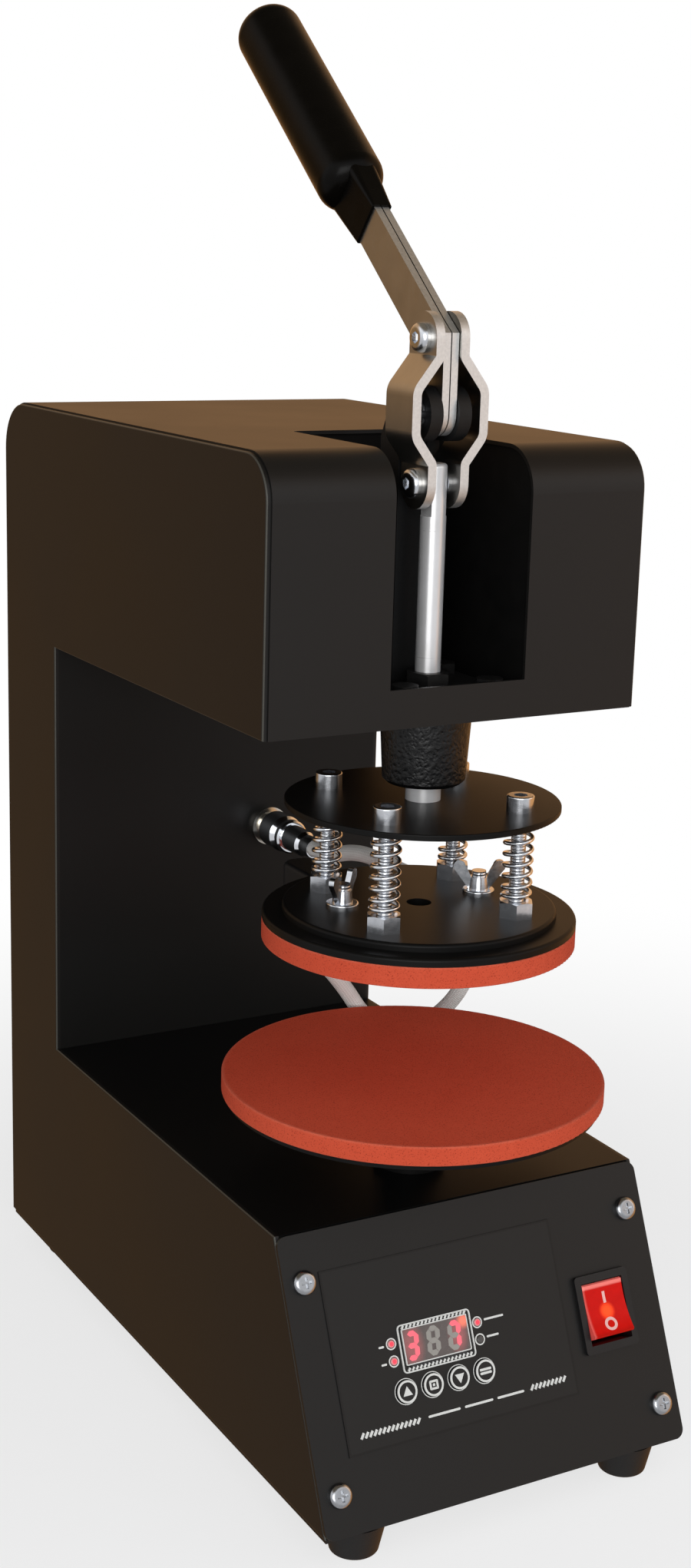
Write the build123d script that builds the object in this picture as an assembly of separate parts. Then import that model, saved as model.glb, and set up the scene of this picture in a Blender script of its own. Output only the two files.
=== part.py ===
from build123d import *
import math
import os

# Plate heat press: a C-shaped sheet steel body, a push-pull toggle clamp in its head, a round
# heating plate on four spring bolts below it, and a round pad on the base.
# Frame: Z up, the press faces -Y, X to the right of a person standing in front of it.
# Origin: middle of the footprint, at the table.

# Body
BODY_WIDTH = 166.0
BASE_DEPTH = 321.5
BASE_HEIGHT = 103.0
NOSE_AHEAD_OF_AXIS = 22.0
HEAD_HEIGHT = 103.0
THROAT_HEIGHT = 187.5
COLUMN_DEPTH = 58.0
PANEL_SETBACK = 45.4
NOSE_RADIUS = 17.0
CROWN_RADIUS = 21.0
SIDE_SHEET = 2.0
SIDE_EDGE_ROUND = 0.8
COVER_SHEET = 1.5
COVER_PROUD = 0.7
FLANGE_DEPTH = 14.0
FLANGE_INSET = 8.0
BACK_COVER_DROP = 70.0

# Base plate and feet
BASE_SHEET = 2.0
BASE_INSET = 1.0
FOOT_HEIGHT = 13.5
FOOT_TOP = 25.0
FOOT_TAPER = 3.0
FOOT_SIDE_INSET = 20.0
FOOT_FRONT_INSET = 14.5
FOOT_REAR_INSET = 24.0
FOOT_SCREW = 5.0
FOOT_RECESS = 11.0
FOOT_EDGE_ROUND = 1.2

# Steel frame inside the body
SPINE_SHEET = 3.0
SPINE_GAP = 4.0
ARM_PLATE = 6.0
ARM_BOLT = 6.0
ARM_BOLT_INSET = 10.0
ARM_BOLT_FRONT = 12.0
ARM_BOLT_ROWS = 22.0
BRIDGE_WIDTH = 92.0
BRIDGE_LENGTH = 96.0
BRIDGE_SHEET = 4.0
BRIDGE_FOOT = 16.0
BRIDGE_BACKSET = 12.0

# Press axis and the slot in the head
AXIS_BEHIND_LIP = 40.6
SLOT_WIDTH = 60.0
SLOT_SILL = 15.0
SLOT_BEHIND_AXIS = 60.0
SLOT_CORNER = 3.0
CHANNEL_SHEET = 2.0
CHANNEL_MARGIN = 1.2

# Toggle clamp
CRANK = 28.0
PIVOT_ABOVE_HEAD = 12.0
LINK_LENGTH = 54.0
LINK_WIDTH = 19.5
LINK_SHEET = 3.7
LINK_BOW = 9.4
LINK_END_UP = 7.5
LINK_END_LOW = 8.5
LINK_FLARE_UP = 12.0
LINK_FLARE_LOW = 10.0
LINK_BEND = 4.5
BAR_SHEET = 3.0
BAR_SPLIT = 0.5
BAR_WIDTH = 16.8
BAR_FOOT_RADIUS = 8.4
HANDLE_LEAN = 50.3
HANDLE_DROP = 1.7
NECK_START = 65.5
NECK_LENGTH = 18.5
NECK_WALL = 1.1
NECK_SPREAD = 4.0
GRIP_LENGTH = 107.0
GRIP_DIAMETER = 27.5
GRIP_END_ROUND = 8.0
GRIP_SHOULDER = 8.0
TANG_LENGTH = 70.0
SIDE_CLEARANCE = 0.3
PIVOT_PIN = 8.0
LINK_PIN = 6.0
PIN_HEAD = 11.5
PIN_HEAD_RISE = 3.6
PIN_HEAD_SOCKET = 4.0
PIN_FIT = 0.05
EAR_SHEET = 5.4
EAR_RADIUS = 10.5
ARM_FRONT = 16.0
ARM_BACK = 26.0
CLIP_THICK = 1.0
CLIP_DIAMETER = 13.0
CLIP_GAP = 0.2
FLANGE_WIDTH = 50.0
FLANGE_FRONT = 21.0
FLANGE_THICK = 5.0
CLAMP_BOLT = 6.0
BARREL_TOP = 36.0
BARREL_END = 32.6
BARREL_DROP = 27.4
BARREL_CHAMFER = 1.6
GUIDE_NUT_FLATS = 16.0
GUIDE_NUT_HEIGHT = 5.5

# Plunger rod
ROD_DIAMETER = 10.0
ROD_FIT = 0.06
ROD_COLLAR = 14.0
ROD_COLLAR_GAP = 0.6
TONGUE_THICK = 6.4
TONGUE_SHOULDER = 12.5
TONGUE_TOP = 7.5
ROD_NUT_FLATS = 17.0
ROD_NUT_HEIGHT = 8.0

# Spring carrier, heating plate and upper pad: the pads nearly meet at the end of the stroke
TOP_DISC_DIAMETER = 109.0
TOP_DISC_SHEET = 2.5
CARRIER_BELOW_BARREL = 7.3
CLOSED_GAP = 0.6
STEP_DISC_DIAMETER = 109.0
STEP_DISC_SHEET = 3.0
HEATER_DIAMETER = 125.0
HEATER_SHEET = 3.2
HEATER_EDGE_ROUND = 1.3
UPPER_PAD_DIAMETER = 125.0
UPPER_PAD_THICK = 8.5
CENTRE_HOLE = 10.0
BOLT_CIRCLE = 80.0
BOLT_TURN = -6.0
SPRING_BOLT = 5.9
BOLT_HEAD = 10.8
BOLT_HEAD_HEIGHT = 6.3
HEX_SOCKET = 5.0
SLIDE_FIT = 0.3
SEAT_NUT_FLATS = 12.5
SEAT_NUT_HEIGHT = 6.5
SPRING_OUTER = 12.3
SPRING_WIRE = 1.7
SPRING_TURNS = 8
SPRING_END_PITCH = 2.3
SPRING_SEAT_GAP = 0.1
SPRING_FREE_GAP = 0.3
HEATER_FLOAT = 5.0
WING_SPREAD = 30.0
WING_BACK = 6.0
WING_STUD = 5.8
WING_FLANGE = 13.0
WING_HUB = 8.6
WING_HUB_HEIGHT = 6.4
WING_REACH = 10.4
WING_RISE = 13.5
WING_THICK = 2.2
WING_FLANGE_THICK = 1.4
WING_TURNS = (35.0, 155.0)

# Lower pad
LOWER_PAD_DIAMETER = 155.0
LOWER_PAD_THICK = 7.8
LOWER_PAD_TOP = 39.0
LOWER_DISC_DIAMETER = 152.0
LOWER_DISC_SHEET = 2.0
POST_DIAMETER = 21.0
POST_FLANGE = 29.0
POST_FLANGE_THICK = 3.0
PAD_EDGE_ROUND = 0.6

# Control panel, measured down the slope of the panel from its top edge
PANEL_SHEET = 1.5
PANEL_CORNER = 4.0
PANEL_SCREW_INSET = 8.5
PANEL_SCREW_TOP = 18.3
PANEL_SCREW_LOW = 97.2
PANEL_SCREW = 5.0
PANEL_SCREW_HEAD = 9.6
PANEL_SCREW_RISE = 2.6
OVERLAY_SIDE_INSET = 15.0
OVERLAY_TO_BEZEL = 6.25
OVERLAY_TOP = 15.5
OVERLAY_LOW = 85.0
OVERLAY_FILM = 0.4
WINDOW_LEFT = -38.5
WINDOW_RIGHT = -8.0
WINDOW_TOP = 40.0
WINDOW_LOW = 61.5
WINDOW_FRAME = 2.6
LENS_RISE = 0.5
MODULE_DEPTH = 8.0
LED_DIAMETER = 3.0
LED_RISE = 0.5
LED_LEFT_X = -42.6
LED_RIGHT_X = -3.6
LED_UPPER = 48.0
LED_LOWER = 54.6
BUTTON_FIRST_X = -39.7
BUTTON_PITCH = 11.83
BUTTON_DOWN = 66.6
BUTTON_DIAMETER = 8.6
BUTTON_GAP = 0.35
BUTTON_RISE = 1.2
BUTTON_TRAVEL = 0.8
BUTTON_FLANGE = 1.2
BUTTON_BACK_GAP = 0.15
BUTTON_FLANGE_DIAMETER = 10.4
BUTTON_STEM = 3.0
BOARD_WIDTH = 92.0
BOARD_HEIGHT = 52.0
BOARD_SHEET = 1.6
BOARD_STANDOFF = 12.0
BOARD_PEG = 6.0
BOARD_PEG_INSET = 4.0
KEY_SWITCH = 6.0
KEY_SWITCH_HEIGHT = 3.4
CAP_ROUND = 0.5
SWITCH_INSET = 27.0
SWITCH_DOWN = 56.0
BEZEL_WIDTH = 25.5
BEZEL_HEIGHT = 31.0
BEZEL_RISE = 1.8
BEZEL_LIP = 2.2
SWITCH_DEPTH = 24.0
ROCKER_WIDTH = 19.2
ROCKER_HEIGHT = 21.6
ROCKER_THROW = 18.0
ROCKER_RADIUS = 13.0
ROCKER_AXLE_DEPTH = 5.0
ROCKER_END_GAP = 1.5
ROCKER_RISE = 3.4
ROCKER_DIP = 1.6
ROCKER_SKIRT = 3.0
ROCKER_AXLE = 3.0
SWITCH_TAG_WIDTH = 6.4
SWITCH_TAG_THICK = 0.8
SWITCH_TAG_LENGTH = 8.0
SWITCH_TAG_PITCH = 8.0

# Rear of the body
REAR_PROUD = 2.4
INLET_WIDTH = 48.0
INLET_HEIGHT = 28.0
INLET_Z = 52.0
INLET_FROM_SIDE = 30.0
INLET_BODY_WIDTH = 28.0
INLET_BODY_HEIGHT = 22.0
INLET_TO_SPINE = 1.0
INLET_DEPTH = 24.0
INLET_SCREW_PITCH = 40.0
INLET_CORNER = 5.0
INLET_WELL = (22.0, 15.0)
INLET_WELL_CUT = 4.0
INLET_FLOOR = 6.0
INLET_BLADE = (2.0, 4.0, 12.0)
INLET_BLADES = ((-6.0, -1.5), (6.0, -1.5), (0.0, 3.0))
REAR_SCREW = 4.0
REAR_SCREW_HEAD = 7.6
REAR_SCREW_LENGTH = 5.5
REAR_SCREW_INSET = 13.0
REAR_SCREW_FROM_FLOOR = 14.0
REAR_SCREW_FROM_SEAM = 16.0
VENT_SLOTS = 7
VENT_PITCH = 7.0
VENT_WIDTH = 50.0
VENT_HEIGHT = 3.0
VENT_Z = 260.0
RELAY_SIZE = (62.0, 45.0, 23.0)
RELAY_INSET = 4.0
TERMINAL_SIZE = (46.0, 17.0, 14.0)
TERMINAL_INSET = 12.0
TERMINAL_WAYS = 4
TERMINAL_PITCH = 11.0
TERMINAL_BORE = 5.0
TERMINAL_FLOOR = 6.0
MAINS_AHEAD_OF_COLUMN = 31.5

# Heater lead and its connector on the column
SOCKET_TO_SPINE = 13.3
SOCKET_HEIGHT = 95.4
SOCKET_THREAD = 12.0
SOCKET_FLANGE = 18.0
SOCKET_FLANGE_THICK = 2.0
SOCKET_THREAD_AHEAD = 5.0
SOCKET_THREAD_BEHIND = 14.0
SOCKET_NUT_THICK = 3.0
PLUG_NUT_START = 4.0
PLUG_NUT_LENGTH = 15.0
PLUG_NUT = 17.0
PLUG_RING_LENGTH = 4.0
PLUG_RING = 15.7
PLUG_BODY = 11.6
PLUG_LENGTH = 46.0
PLUG_TAIL = 9.6
LEAD_DIAMETER = 7.4
LEAD_REST = 0.1
LEAD_IN_PLUG = 6.0
BOOT_ABOVE_PAD = 0.6
BOOT_ROOF = 1.6
BOOT_WIDTH = 16.0
BOOT_HEIGHT = 10.0
BOOT_X = -8.0
BOOT_BEHIND_AXIS = 82.7
BOOT_ROUND = 2.0

# Derived planes
Z_BODY = FOOT_HEIGHT + BASE_SHEET
Z_BASE = Z_BODY + BASE_HEIGHT
Z_HEAD = Z_BASE + THROAT_HEIGHT
Z_TOP = Z_HEAD + HEAD_HEIGHT
Y_TOE = -(BASE_DEPTH + REAR_PROUD) / 2
Y_BACK = Y_TOE + BASE_DEPTH
Y_LIP = Y_TOE + PANEL_SETBACK
Y_COLUMN = Y_BACK - COLUMN_DEPTH
Y_AXIS = Y_LIP + AXIS_BEHIND_LIP
Y_NOSE = Y_AXIS - NOSE_AHEAD_OF_AXIS
X_SIDE = BODY_WIDTH / 2
X_IN = X_SIDE - SIDE_SHEET
Z_ARM = Z_HEAD + ARM_PLATE
Z_PIVOT = Z_TOP + PIVOT_ABOVE_HEAD
Z_UPPER_PIN = Z_PIVOT + CRANK
Z_LOWER_PIN = Z_UPPER_PIN - LINK_LENGTH
Z_BARREL_END = Z_HEAD - BARREL_DROP
Z_TOP_DISC = Z_BARREL_END - CARRIER_BELOW_BARREL
Z_TOP_DISC_LOW = Z_TOP_DISC - TOP_DISC_SHEET
STROKE = 2 * CRANK
Z_LOWER_PAD = Z_BASE + LOWER_PAD_TOP
Z_UPPER_PAD_LOW = Z_LOWER_PAD + STROKE + CLOSED_GAP
Z_HEATER_LOW = Z_UPPER_PAD_LOW + UPPER_PAD_THICK
Z_STEP_LOW = Z_HEATER_LOW + HEATER_SHEET
Z_HEATER = Z_STEP_LOW + STEP_DISC_SHEET
Z_LOWER_PAD_LOW = Z_LOWER_PAD - LOWER_PAD_THICK
Z_LOWER_DISC_LOW = Z_LOWER_PAD_LOW - LOWER_DISC_SHEET
Z_SOCKET = Z_BASE + SOCKET_HEIGHT
INLET_X = -(X_SIDE - INLET_FROM_SIDE)
SPINE_WIDTH = 2 * (-INLET_X - INLET_BODY_WIDTH / 2 - INLET_TO_SPINE)
SOCKET_X = SPINE_WIDTH / 2 - SOCKET_TO_SPINE
SWITCH_X = X_SIDE - SWITCH_INSET
OVERLAY_LEFT = -(X_SIDE - OVERLAY_SIDE_INSET)
OVERLAY_RIGHT = SWITCH_X - BEZEL_WIDTH / 2 - OVERLAY_TO_BEZEL
HALF_STACK = BAR_SPLIT / 2 + BAR_SHEET
X_CHEEK = HALF_STACK + SIDE_CLEARANCE
X_FOOT = ROD_DIAMETER / 2 + SIDE_CLEARANCE
PAD_GAP = Z_UPPER_PAD_LOW - Z_LOWER_PAD
SLOPE_LENGTH = math.hypot(PANEL_SETBACK, BASE_HEIGHT)
SLOPE_ANGLE = math.degrees(math.atan2(PANEL_SETBACK, BASE_HEIGHT))

os.makedirs("parts", exist_ok=True)


def save(name, shape):
    """Write one node and print what it holds."""
    solids = shape.solids()
    whole = solids[0] if len(solids) == 1 else Compound(children=list(solids))
    export_step(whole, f"parts/{name}.step")
    print(name, len(solids), round(sum(s.volume for s in solids), 1))


def block(x_low, x_high, y_low, y_high, z_low, z_high):
    """A box from its two corners."""
    middle = ((x_low + x_high) / 2, (y_low + y_high) / 2, (z_low + z_high) / 2)
    return Pos(*middle) * Box(x_high - x_low, y_high - y_low, z_high - z_low)


def upright(diameter, z_low, z_high, x=0.0, y=0.0):
    """A vertical cylinder."""
    return Pos(x, y, (z_low + z_high) / 2) * Cylinder(diameter / 2, z_high - z_low)


def across(diameter, x_low, x_high, y, z):
    """A cylinder along X."""
    turned = Rot(0, 90, 0) * Cylinder(diameter / 2, x_high - x_low)
    return Pos((x_low + x_high) / 2, y, z) * turned


def lengthways(diameter, y_low, y_high, x, z):
    """A cylinder along Y."""
    turned = Rot(90, 0, 0) * Cylinder(diameter / 2, y_high - y_low)
    return Pos(x, (y_low + y_high) / 2, z) * turned


def side_view(face, x_low, x_high):
    """Extrude a face drawn in Y and Z from one X to another."""
    return Pos(x_low, 0, 0) * extrude(Plane.YZ * face, amount=x_high - x_low)


def corner_face(points, rounds):
    """A face through the points, with the listed corners rounded."""
    face = make_face(Polyline(*points, close=True))
    for (u, v), radius in rounds:
        corner = face.vertices().sort_by(lambda w: math.hypot(w.X - u, w.Y - v))[0]
        face = fillet(corner, radius)
    return face


def hexagon(flats, z_low, z_high, x=0.0, y=0.0, bore=0.0):
    """A hexagonal nut with chamfered corners, along Z."""
    corners = flats / math.cos(math.radians(30))
    prism = Pos(x, y, z_low) * extrude(RegularPolygon(corners / 2, 6), amount=z_high - z_low)
    lead = (corners - flats) / 2
    rise = lead * math.tan(math.radians(30))
    body = Pos(x, y, z_low) * Cylinder(
        corners / 2, z_high - z_low - rise, align=(Align.CENTER, Align.CENTER, Align.MIN))
    crown = Pos(x, y, z_high - rise) * Cone(
        corners / 2, flats / 2, rise, align=(Align.CENTER, Align.CENTER, Align.MIN))
    nut = prism & (body + crown)
    if bore:
        nut -= upright(bore, z_low - 1, z_high + 1, x, y)
    return nut


def pan_head(shank, head, rise, length):
    """A domed pan head with a cross recess, its seat at z = 0 and its head upwards."""
    dome = Cylinder(head / 2, rise, align=(Align.CENTER, Align.CENTER, Align.MIN))
    dome = fillet(dome.edges().sort_by(Axis.Z)[-1], rise * 0.75)
    pin = Cylinder(shank / 2, length, align=(Align.CENTER, Align.CENTER, Align.MAX))
    arm = head * 0.46
    slit = head * 0.11
    recess = Box(arm, slit, rise) + Box(slit, arm, rise)
    return dome + pin - Pos(0, 0, rise) * recess


def on_panel(x, down, shape):
    """Place a shape that stands on the panel's outer face, its own +Z pointing out of it."""
    return Pos(x, Y_LIP, Z_BASE) * Rot(90 - SLOPE_ANGLE, 0, 0) * Pos(0, -down, 0) * shape


def panel_box(x_low, x_high, down_low, down_high, out_low, out_high):
    """A box in the panel's own directions."""
    size = (x_high - x_low, down_high - down_low, out_high - out_low)
    shift = Pos(0, 0, (out_low + out_high) / 2)
    return on_panel((x_low + x_high) / 2, (down_low + down_high) / 2, shift * Box(*size))


def panel_peg(diameter, x, down, out_low, out_high):
    """A round peg in the panel's own directions."""
    shift = Pos(0, 0, (out_low + out_high) / 2)
    return on_panel(x, down, shift * Cylinder(diameter / 2, out_high - out_low))


# Side panels
side_points = [(Y_BACK, Z_BODY), (Y_BACK, Z_TOP), (Y_NOSE, Z_TOP), (Y_NOSE, Z_HEAD),
               (Y_COLUMN, Z_HEAD), (Y_COLUMN, Z_BASE)]
panel_back = PANEL_SHEET / math.cos(math.radians(SLOPE_ANGLE))
side_points += [(Y_LIP + panel_back, Z_BASE), (Y_TOE + panel_back, Z_BODY)]
side_face = corner_face(
    side_points, [((Y_BACK, Z_TOP), CROWN_RADIUS), ((Y_NOSE, Z_TOP), NOSE_RADIUS)])


z_back_seam = Z_TOP - BACK_COVER_DROP
panel_screw_spots = [(sx * (X_SIDE - PANEL_SCREW_INSET), down) for sx in (-1, 1)
                     for down in (PANEL_SCREW_TOP, PANEL_SCREW_LOW)]
rear_spots = [(sx * (X_SIDE - REAR_SCREW_INSET), z) for sx in (-1, 1)
              for z in (Z_BODY + REAR_SCREW_FROM_FLOOR, (Z_BODY + z_back_seam) / 2,
                        z_back_seam - REAR_SCREW_FROM_SEAM)]
inlet_screw_spots = [(INLET_X + sx * INLET_SCREW_PITCH / 2, INLET_Z) for sx in (-1, 1)]


def side_panel(side):
    """One C-shaped side sheet, its outer rim rounded, with flanges for the panel and back cover."""
    sheet = side_view(side_face, X_SIDE - SIDE_SHEET, X_SIDE)
    rim = sheet.faces().sort_by(Axis.X)[-1].edges()
    sheet = fillet(rim, SIDE_EDGE_ROUND)
    y_flange = Y_BACK - COVER_SHEET
    sheet += block(X_IN - FLANGE_DEPTH, X_IN, y_flange - SIDE_SHEET, y_flange,
                   Z_BODY, z_back_seam - FLANGE_INSET / 2)
    sheet += panel_box(X_IN - FLANGE_DEPTH, X_IN, FLANGE_INSET, SLOPE_LENGTH - FLANGE_INSET,
                       -PANEL_SHEET - SIDE_SHEET, -PANEL_SHEET)
    if side < 0:
        sheet = mirror(sheet, Plane.YZ)
    for x, z in rear_spots + inlet_screw_spots:
        sheet -= lengthways(REAR_SCREW + SLIDE_FIT, Y_BACK - 9, Y_BACK, x, z)
    for x, down in panel_screw_spots:
        sheet -= panel_peg(PANEL_SCREW + SLIDE_FIT, x, down, -9, 0)
    return sheet


save("right_side_panel", side_panel(1))
save("left_side_panel", side_panel(-1))

# Head cover: nose, top and upper back in one bent sheet, with the slot for the clamp
nose_out = Y_NOSE - COVER_PROUD
top_out = Z_TOP + COVER_PROUD
crown_out = Y_BACK
outer = corner_face(
    [(nose_out, Z_HEAD), (nose_out, top_out), (crown_out, top_out), (crown_out, Z_HEAD)],
    [((nose_out, top_out), NOSE_RADIUS + COVER_PROUD), ((crown_out, top_out), CROWN_RADIUS)])
nose_in = nose_out + COVER_SHEET
top_in = top_out - COVER_SHEET
nose_bend = NOSE_RADIUS + COVER_PROUD - COVER_SHEET
inner = corner_face(
    [(nose_in, Z_HEAD - 1), (nose_in, top_in), (crown_out - COVER_SHEET, top_in),
     (crown_out - COVER_SHEET, Z_HEAD - 1)],
    [((nose_in, top_in), nose_bend), ((crown_out - COVER_SHEET, top_in), CROWN_RADIUS - COVER_SHEET)])
head_cover = side_view(outer - inner, -X_IN, X_IN)
head_cover -= block(-X_SIDE, X_SIDE, Y_COLUMN, Y_BACK + 1, Z_HEAD - 1, z_back_seam)
y_slot_back = Y_AXIS + SLOT_BEHIND_AXIS
slot_low = block(-SLOT_WIDTH / 2, SLOT_WIDTH / 2, nose_out - 1, Y_AXIS,
                 Z_HEAD + SLOT_SILL, top_out + 1)
slot_top = block(-SLOT_WIDTH / 2, SLOT_WIDTH / 2, Y_NOSE + NOSE_RADIUS, y_slot_back,
                 Z_TOP - HEAD_HEIGHT / 2, top_out + 1)
slot_top = fillet(slot_top.edges().filter_by(Axis.Z).group_by(Axis.Y)[-1], SLOT_CORNER)
head_cover -= slot_low + slot_top
save("head_cover", head_cover)

# Arm plate: the thick steel plate under the head that carries the clamp
y_arm_front = nose_in
y_arm_back = Y_BACK - COVER_SHEET - SPINE_GAP
arm_plate = block(-X_IN, X_IN, y_arm_front, y_arm_back, Z_HEAD, Z_ARM)
arm_plate -= upright(BARREL_TOP + 2 * SLIDE_FIT, Z_HEAD - 1, Z_ARM + 1, 0, Y_AXIS)
clamp_spots = [(sx * (FLANGE_WIDTH / 2 - CLAMP_BOLT), Y_AXIS + dy)
               for sx in (-1, 1) for dy in (CLAMP_BOLT - FLANGE_FRONT, ARM_BACK - CLAMP_BOLT)]
for x, y in clamp_spots:
    arm_plate -= upright(CLAMP_BOLT + SLIDE_FIT, Z_HEAD - 1, Z_ARM + 1, x, y)
y_spine_front = Y_COLUMN + COVER_SHEET + SPINE_GAP
arm_spots = [(sx * (SPINE_WIDTH / 2 - ARM_BOLT_INSET), y_spine_front + ARM_BOLT_FRONT + row)
             for sx in (-1, 1) for row in (0.0, ARM_BOLT_ROWS)]
for x, y in arm_spots:
    arm_plate -= upright(ARM_BOLT + SLIDE_FIT, Z_HEAD - 1, Z_ARM + 1, x, y)
save("arm_plate", arm_plate)

# Spine: a bent steel channel up the column, with a cap flange under the arm plate
z_spine_low = Z_BODY
spine = block(-SPINE_WIDTH / 2, SPINE_WIDTH / 2, y_spine_front, y_arm_back, z_spine_low, Z_HEAD)
spine -= block(-SPINE_WIDTH / 2 + SPINE_SHEET, SPINE_WIDTH / 2 - SPINE_SHEET,
               y_spine_front - 1, y_arm_back - SPINE_SHEET,
               z_spine_low + SPINE_SHEET, Z_HEAD - SPINE_SHEET)
for x, y in arm_spots:
    spine -= upright(ARM_BOLT + SLIDE_FIT, Z_HEAD - SPINE_SHEET - 1, Z_HEAD + 1, x, y)
save("spine", spine)


def hex_bolt(x, y, z_seat, diameter, reach):
    """A hexagon head bolt standing down from its seat."""
    head = hexagon(diameter * 1.7, z_seat, z_seat + diameter * 0.68, x, y)
    return head + upright(diameter, z_seat - reach, z_seat, x, y)


def bolt_and_nut(x, y, z_seat, diameter, grip):
    """A hexagon head bolt with its nut under the sheets that it holds."""
    z_nut = z_seat - grip
    nut = hexagon(diameter * 1.7, z_nut - diameter * 0.8, z_nut, x, y)
    return hex_bolt(x, y, z_seat, diameter, grip + diameter) + nut


arm_bolts = [bolt_and_nut(x, y, Z_ARM, ARM_BOLT, ARM_PLATE + SPINE_SHEET) for x, y in arm_spots]
save("arm_bolts", Compound(children=arm_bolts))

# Slot channel: the walls that line the slot, bent in plan round its back
channel_in = SLOT_WIDTH / 2 + CHANNEL_MARGIN
channel_out = channel_in + CHANNEL_SHEET
channel_front = nose_in
channel_back = y_slot_back + CHANNEL_MARGIN
channel_top = top_in
channel_bend = nose_bend
channel_face = corner_face(
    [(channel_front, Z_ARM), (channel_front, channel_top),
     (channel_back + CHANNEL_SHEET, channel_top), (channel_back + CHANNEL_SHEET, Z_ARM)],
    [((channel_front, channel_top), channel_bend)])
slot_channel = side_view(channel_face, -channel_out, channel_out)
slot_channel -= block(-channel_in, channel_in, channel_front - 1, channel_back, Z_ARM - 1, Z_TOP + 9)
save("slot_channel", slot_channel)

# Column front sheet, base top, base plate
column_cover = block(-X_IN, X_IN, Y_COLUMN, Y_COLUMN + COVER_SHEET, Z_BASE, Z_HEAD)
column_cover -= lengthways(SOCKET_THREAD + SLIDE_FIT, Y_COLUMN - 1, Y_COLUMN + COVER_SHEET + 1,
                           SOCKET_X, Z_SOCKET)
save("column_cover", column_cover)

base_top_front = Y_LIP + panel_back
base_top = block(-X_IN, X_IN, base_top_front, Y_COLUMN + COVER_SHEET, Z_BASE - COVER_SHEET, Z_BASE)
base_top -= upright(POST_DIAMETER + 2 * SLIDE_FIT, Z_BASE - 9, Z_BASE + 9, 0, Y_AXIS)
base_top -= block(-SPINE_WIDTH / 2 - 1, SPINE_WIDTH / 2 + 1, y_spine_front - 1, Y_BACK, 0, Z_BASE + 1)
save("base_top_cover", base_top)

foot_spots = [(sx * (X_SIDE - FOOT_SIDE_INSET), y) for sx in (-1, 1)
              for y in (Y_TOE + FOOT_FRONT_INSET, Y_BACK - FOOT_REAR_INSET)]
base_plate = block(-X_SIDE + BASE_INSET, X_SIDE - BASE_INSET, Y_TOE + panel_back + BASE_INSET,
                   Y_BACK - BASE_INSET, FOOT_HEIGHT, Z_BODY)
for x, y in foot_spots:
    base_plate -= upright(FOOT_SCREW + SLIDE_FIT, 0, Z_BODY + 1, x, y)
save("base_plate", base_plate)


def foot(x, y):
    """A tapered rubber foot with a recess for its screw."""
    cone = Cone(FOOT_TOP / 2 - FOOT_TAPER, FOOT_TOP / 2, FOOT_HEIGHT,
                align=(Align.CENTER, Align.CENTER, Align.MIN))
    cone = fillet(cone.edges().sort_by(Axis.Z)[0], FOOT_EDGE_ROUND)
    cone -= Cylinder(FOOT_RECESS / 2, FOOT_HEIGHT / 2, align=(Align.CENTER, Align.CENTER, Align.MIN))
    cone -= Cylinder(FOOT_SCREW / 2 + PIN_FIT, 2 * FOOT_HEIGHT)
    return Pos(x, y, 0) * cone


save("feet", Compound(children=[foot(x, y) for x, y in foot_spots]))
foot_screws = []
for x, y in foot_spots:
    turned = Rot(180, 0, 0) * pan_head(FOOT_SCREW, FOOT_SCREW * 1.9, 2.6, FOOT_HEIGHT)
    foot_screws.append(Pos(x, y, FOOT_HEIGHT / 2) * turned)
save("foot_screws", Compound(children=foot_screws))

# Back cover with its vents and screws
back_cover = block(-X_IN, X_IN, Y_BACK - COVER_SHEET, Y_BACK, Z_BODY, z_back_seam)
for step in range(VENT_SLOTS):
    z = VENT_Z + step * VENT_PITCH
    slit = Box(VENT_WIDTH - VENT_HEIGHT, 3 * COVER_SHEET, VENT_HEIGHT)
    ends = lengthways(VENT_HEIGHT, Y_BACK - 2 * COVER_SHEET, Y_BACK + COVER_SHEET, 0, z)
    cut = Pos(0, Y_BACK - COVER_SHEET / 2, z) * slit
    for side in (-1, 1):
        cut += Pos(side * (VENT_WIDTH - VENT_HEIGHT) / 2, 0, 0) * ends
    back_cover -= cut
for x, z in rear_spots + inlet_screw_spots:
    back_cover -= lengthways(REAR_SCREW + SLIDE_FIT, Y_BACK - 9, Y_BACK + 9, x, z)
back_cover -= Pos(INLET_X, Y_BACK, INLET_Z) * Box(INLET_BODY_WIDTH, 20.0, INLET_BODY_HEIGHT)
save("back_cover", back_cover)

inlet_sheet = REAR_PROUD - 1.0
inlet_plate = Pos(INLET_X, Y_BACK + inlet_sheet / 2, INLET_Z) * Box(
    INLET_WIDTH, inlet_sheet, INLET_HEIGHT)
inlet_plate = fillet(inlet_plate.edges().filter_by(Axis.Y), INLET_CORNER)
inlet_body = Pos(INLET_X, Y_BACK + inlet_sheet - INLET_DEPTH / 2, INLET_Z) * Box(
    INLET_BODY_WIDTH - 2 * SLIDE_FIT, INLET_DEPTH, INLET_BODY_HEIGHT - 2 * SLIDE_FIT)
well_x = INLET_WELL[0] / 2
well_z = INLET_WELL[1] / 2
well_face = corner_face([(-well_x, -well_z), (well_x, -well_z), (well_x, well_z), (-well_x, well_z)],
                        [((-well_x, well_z), INLET_WELL_CUT), ((well_x, well_z), INLET_WELL_CUT)])
well_plane = Plane(origin=(INLET_X, Y_BACK + inlet_sheet, INLET_Z), x_dir=(-1, 0, 0), z_dir=(0, 1, 0))
inlet_well = extrude(well_plane * well_face, amount=-(INLET_DEPTH - INLET_FLOOR))
mains_inlet = inlet_plate + inlet_body - inlet_well
for x, z in inlet_screw_spots:
    mains_inlet -= lengthways(REAR_SCREW + SLIDE_FIT, Y_BACK - 9, Y_BACK + 9, x, z)
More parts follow.
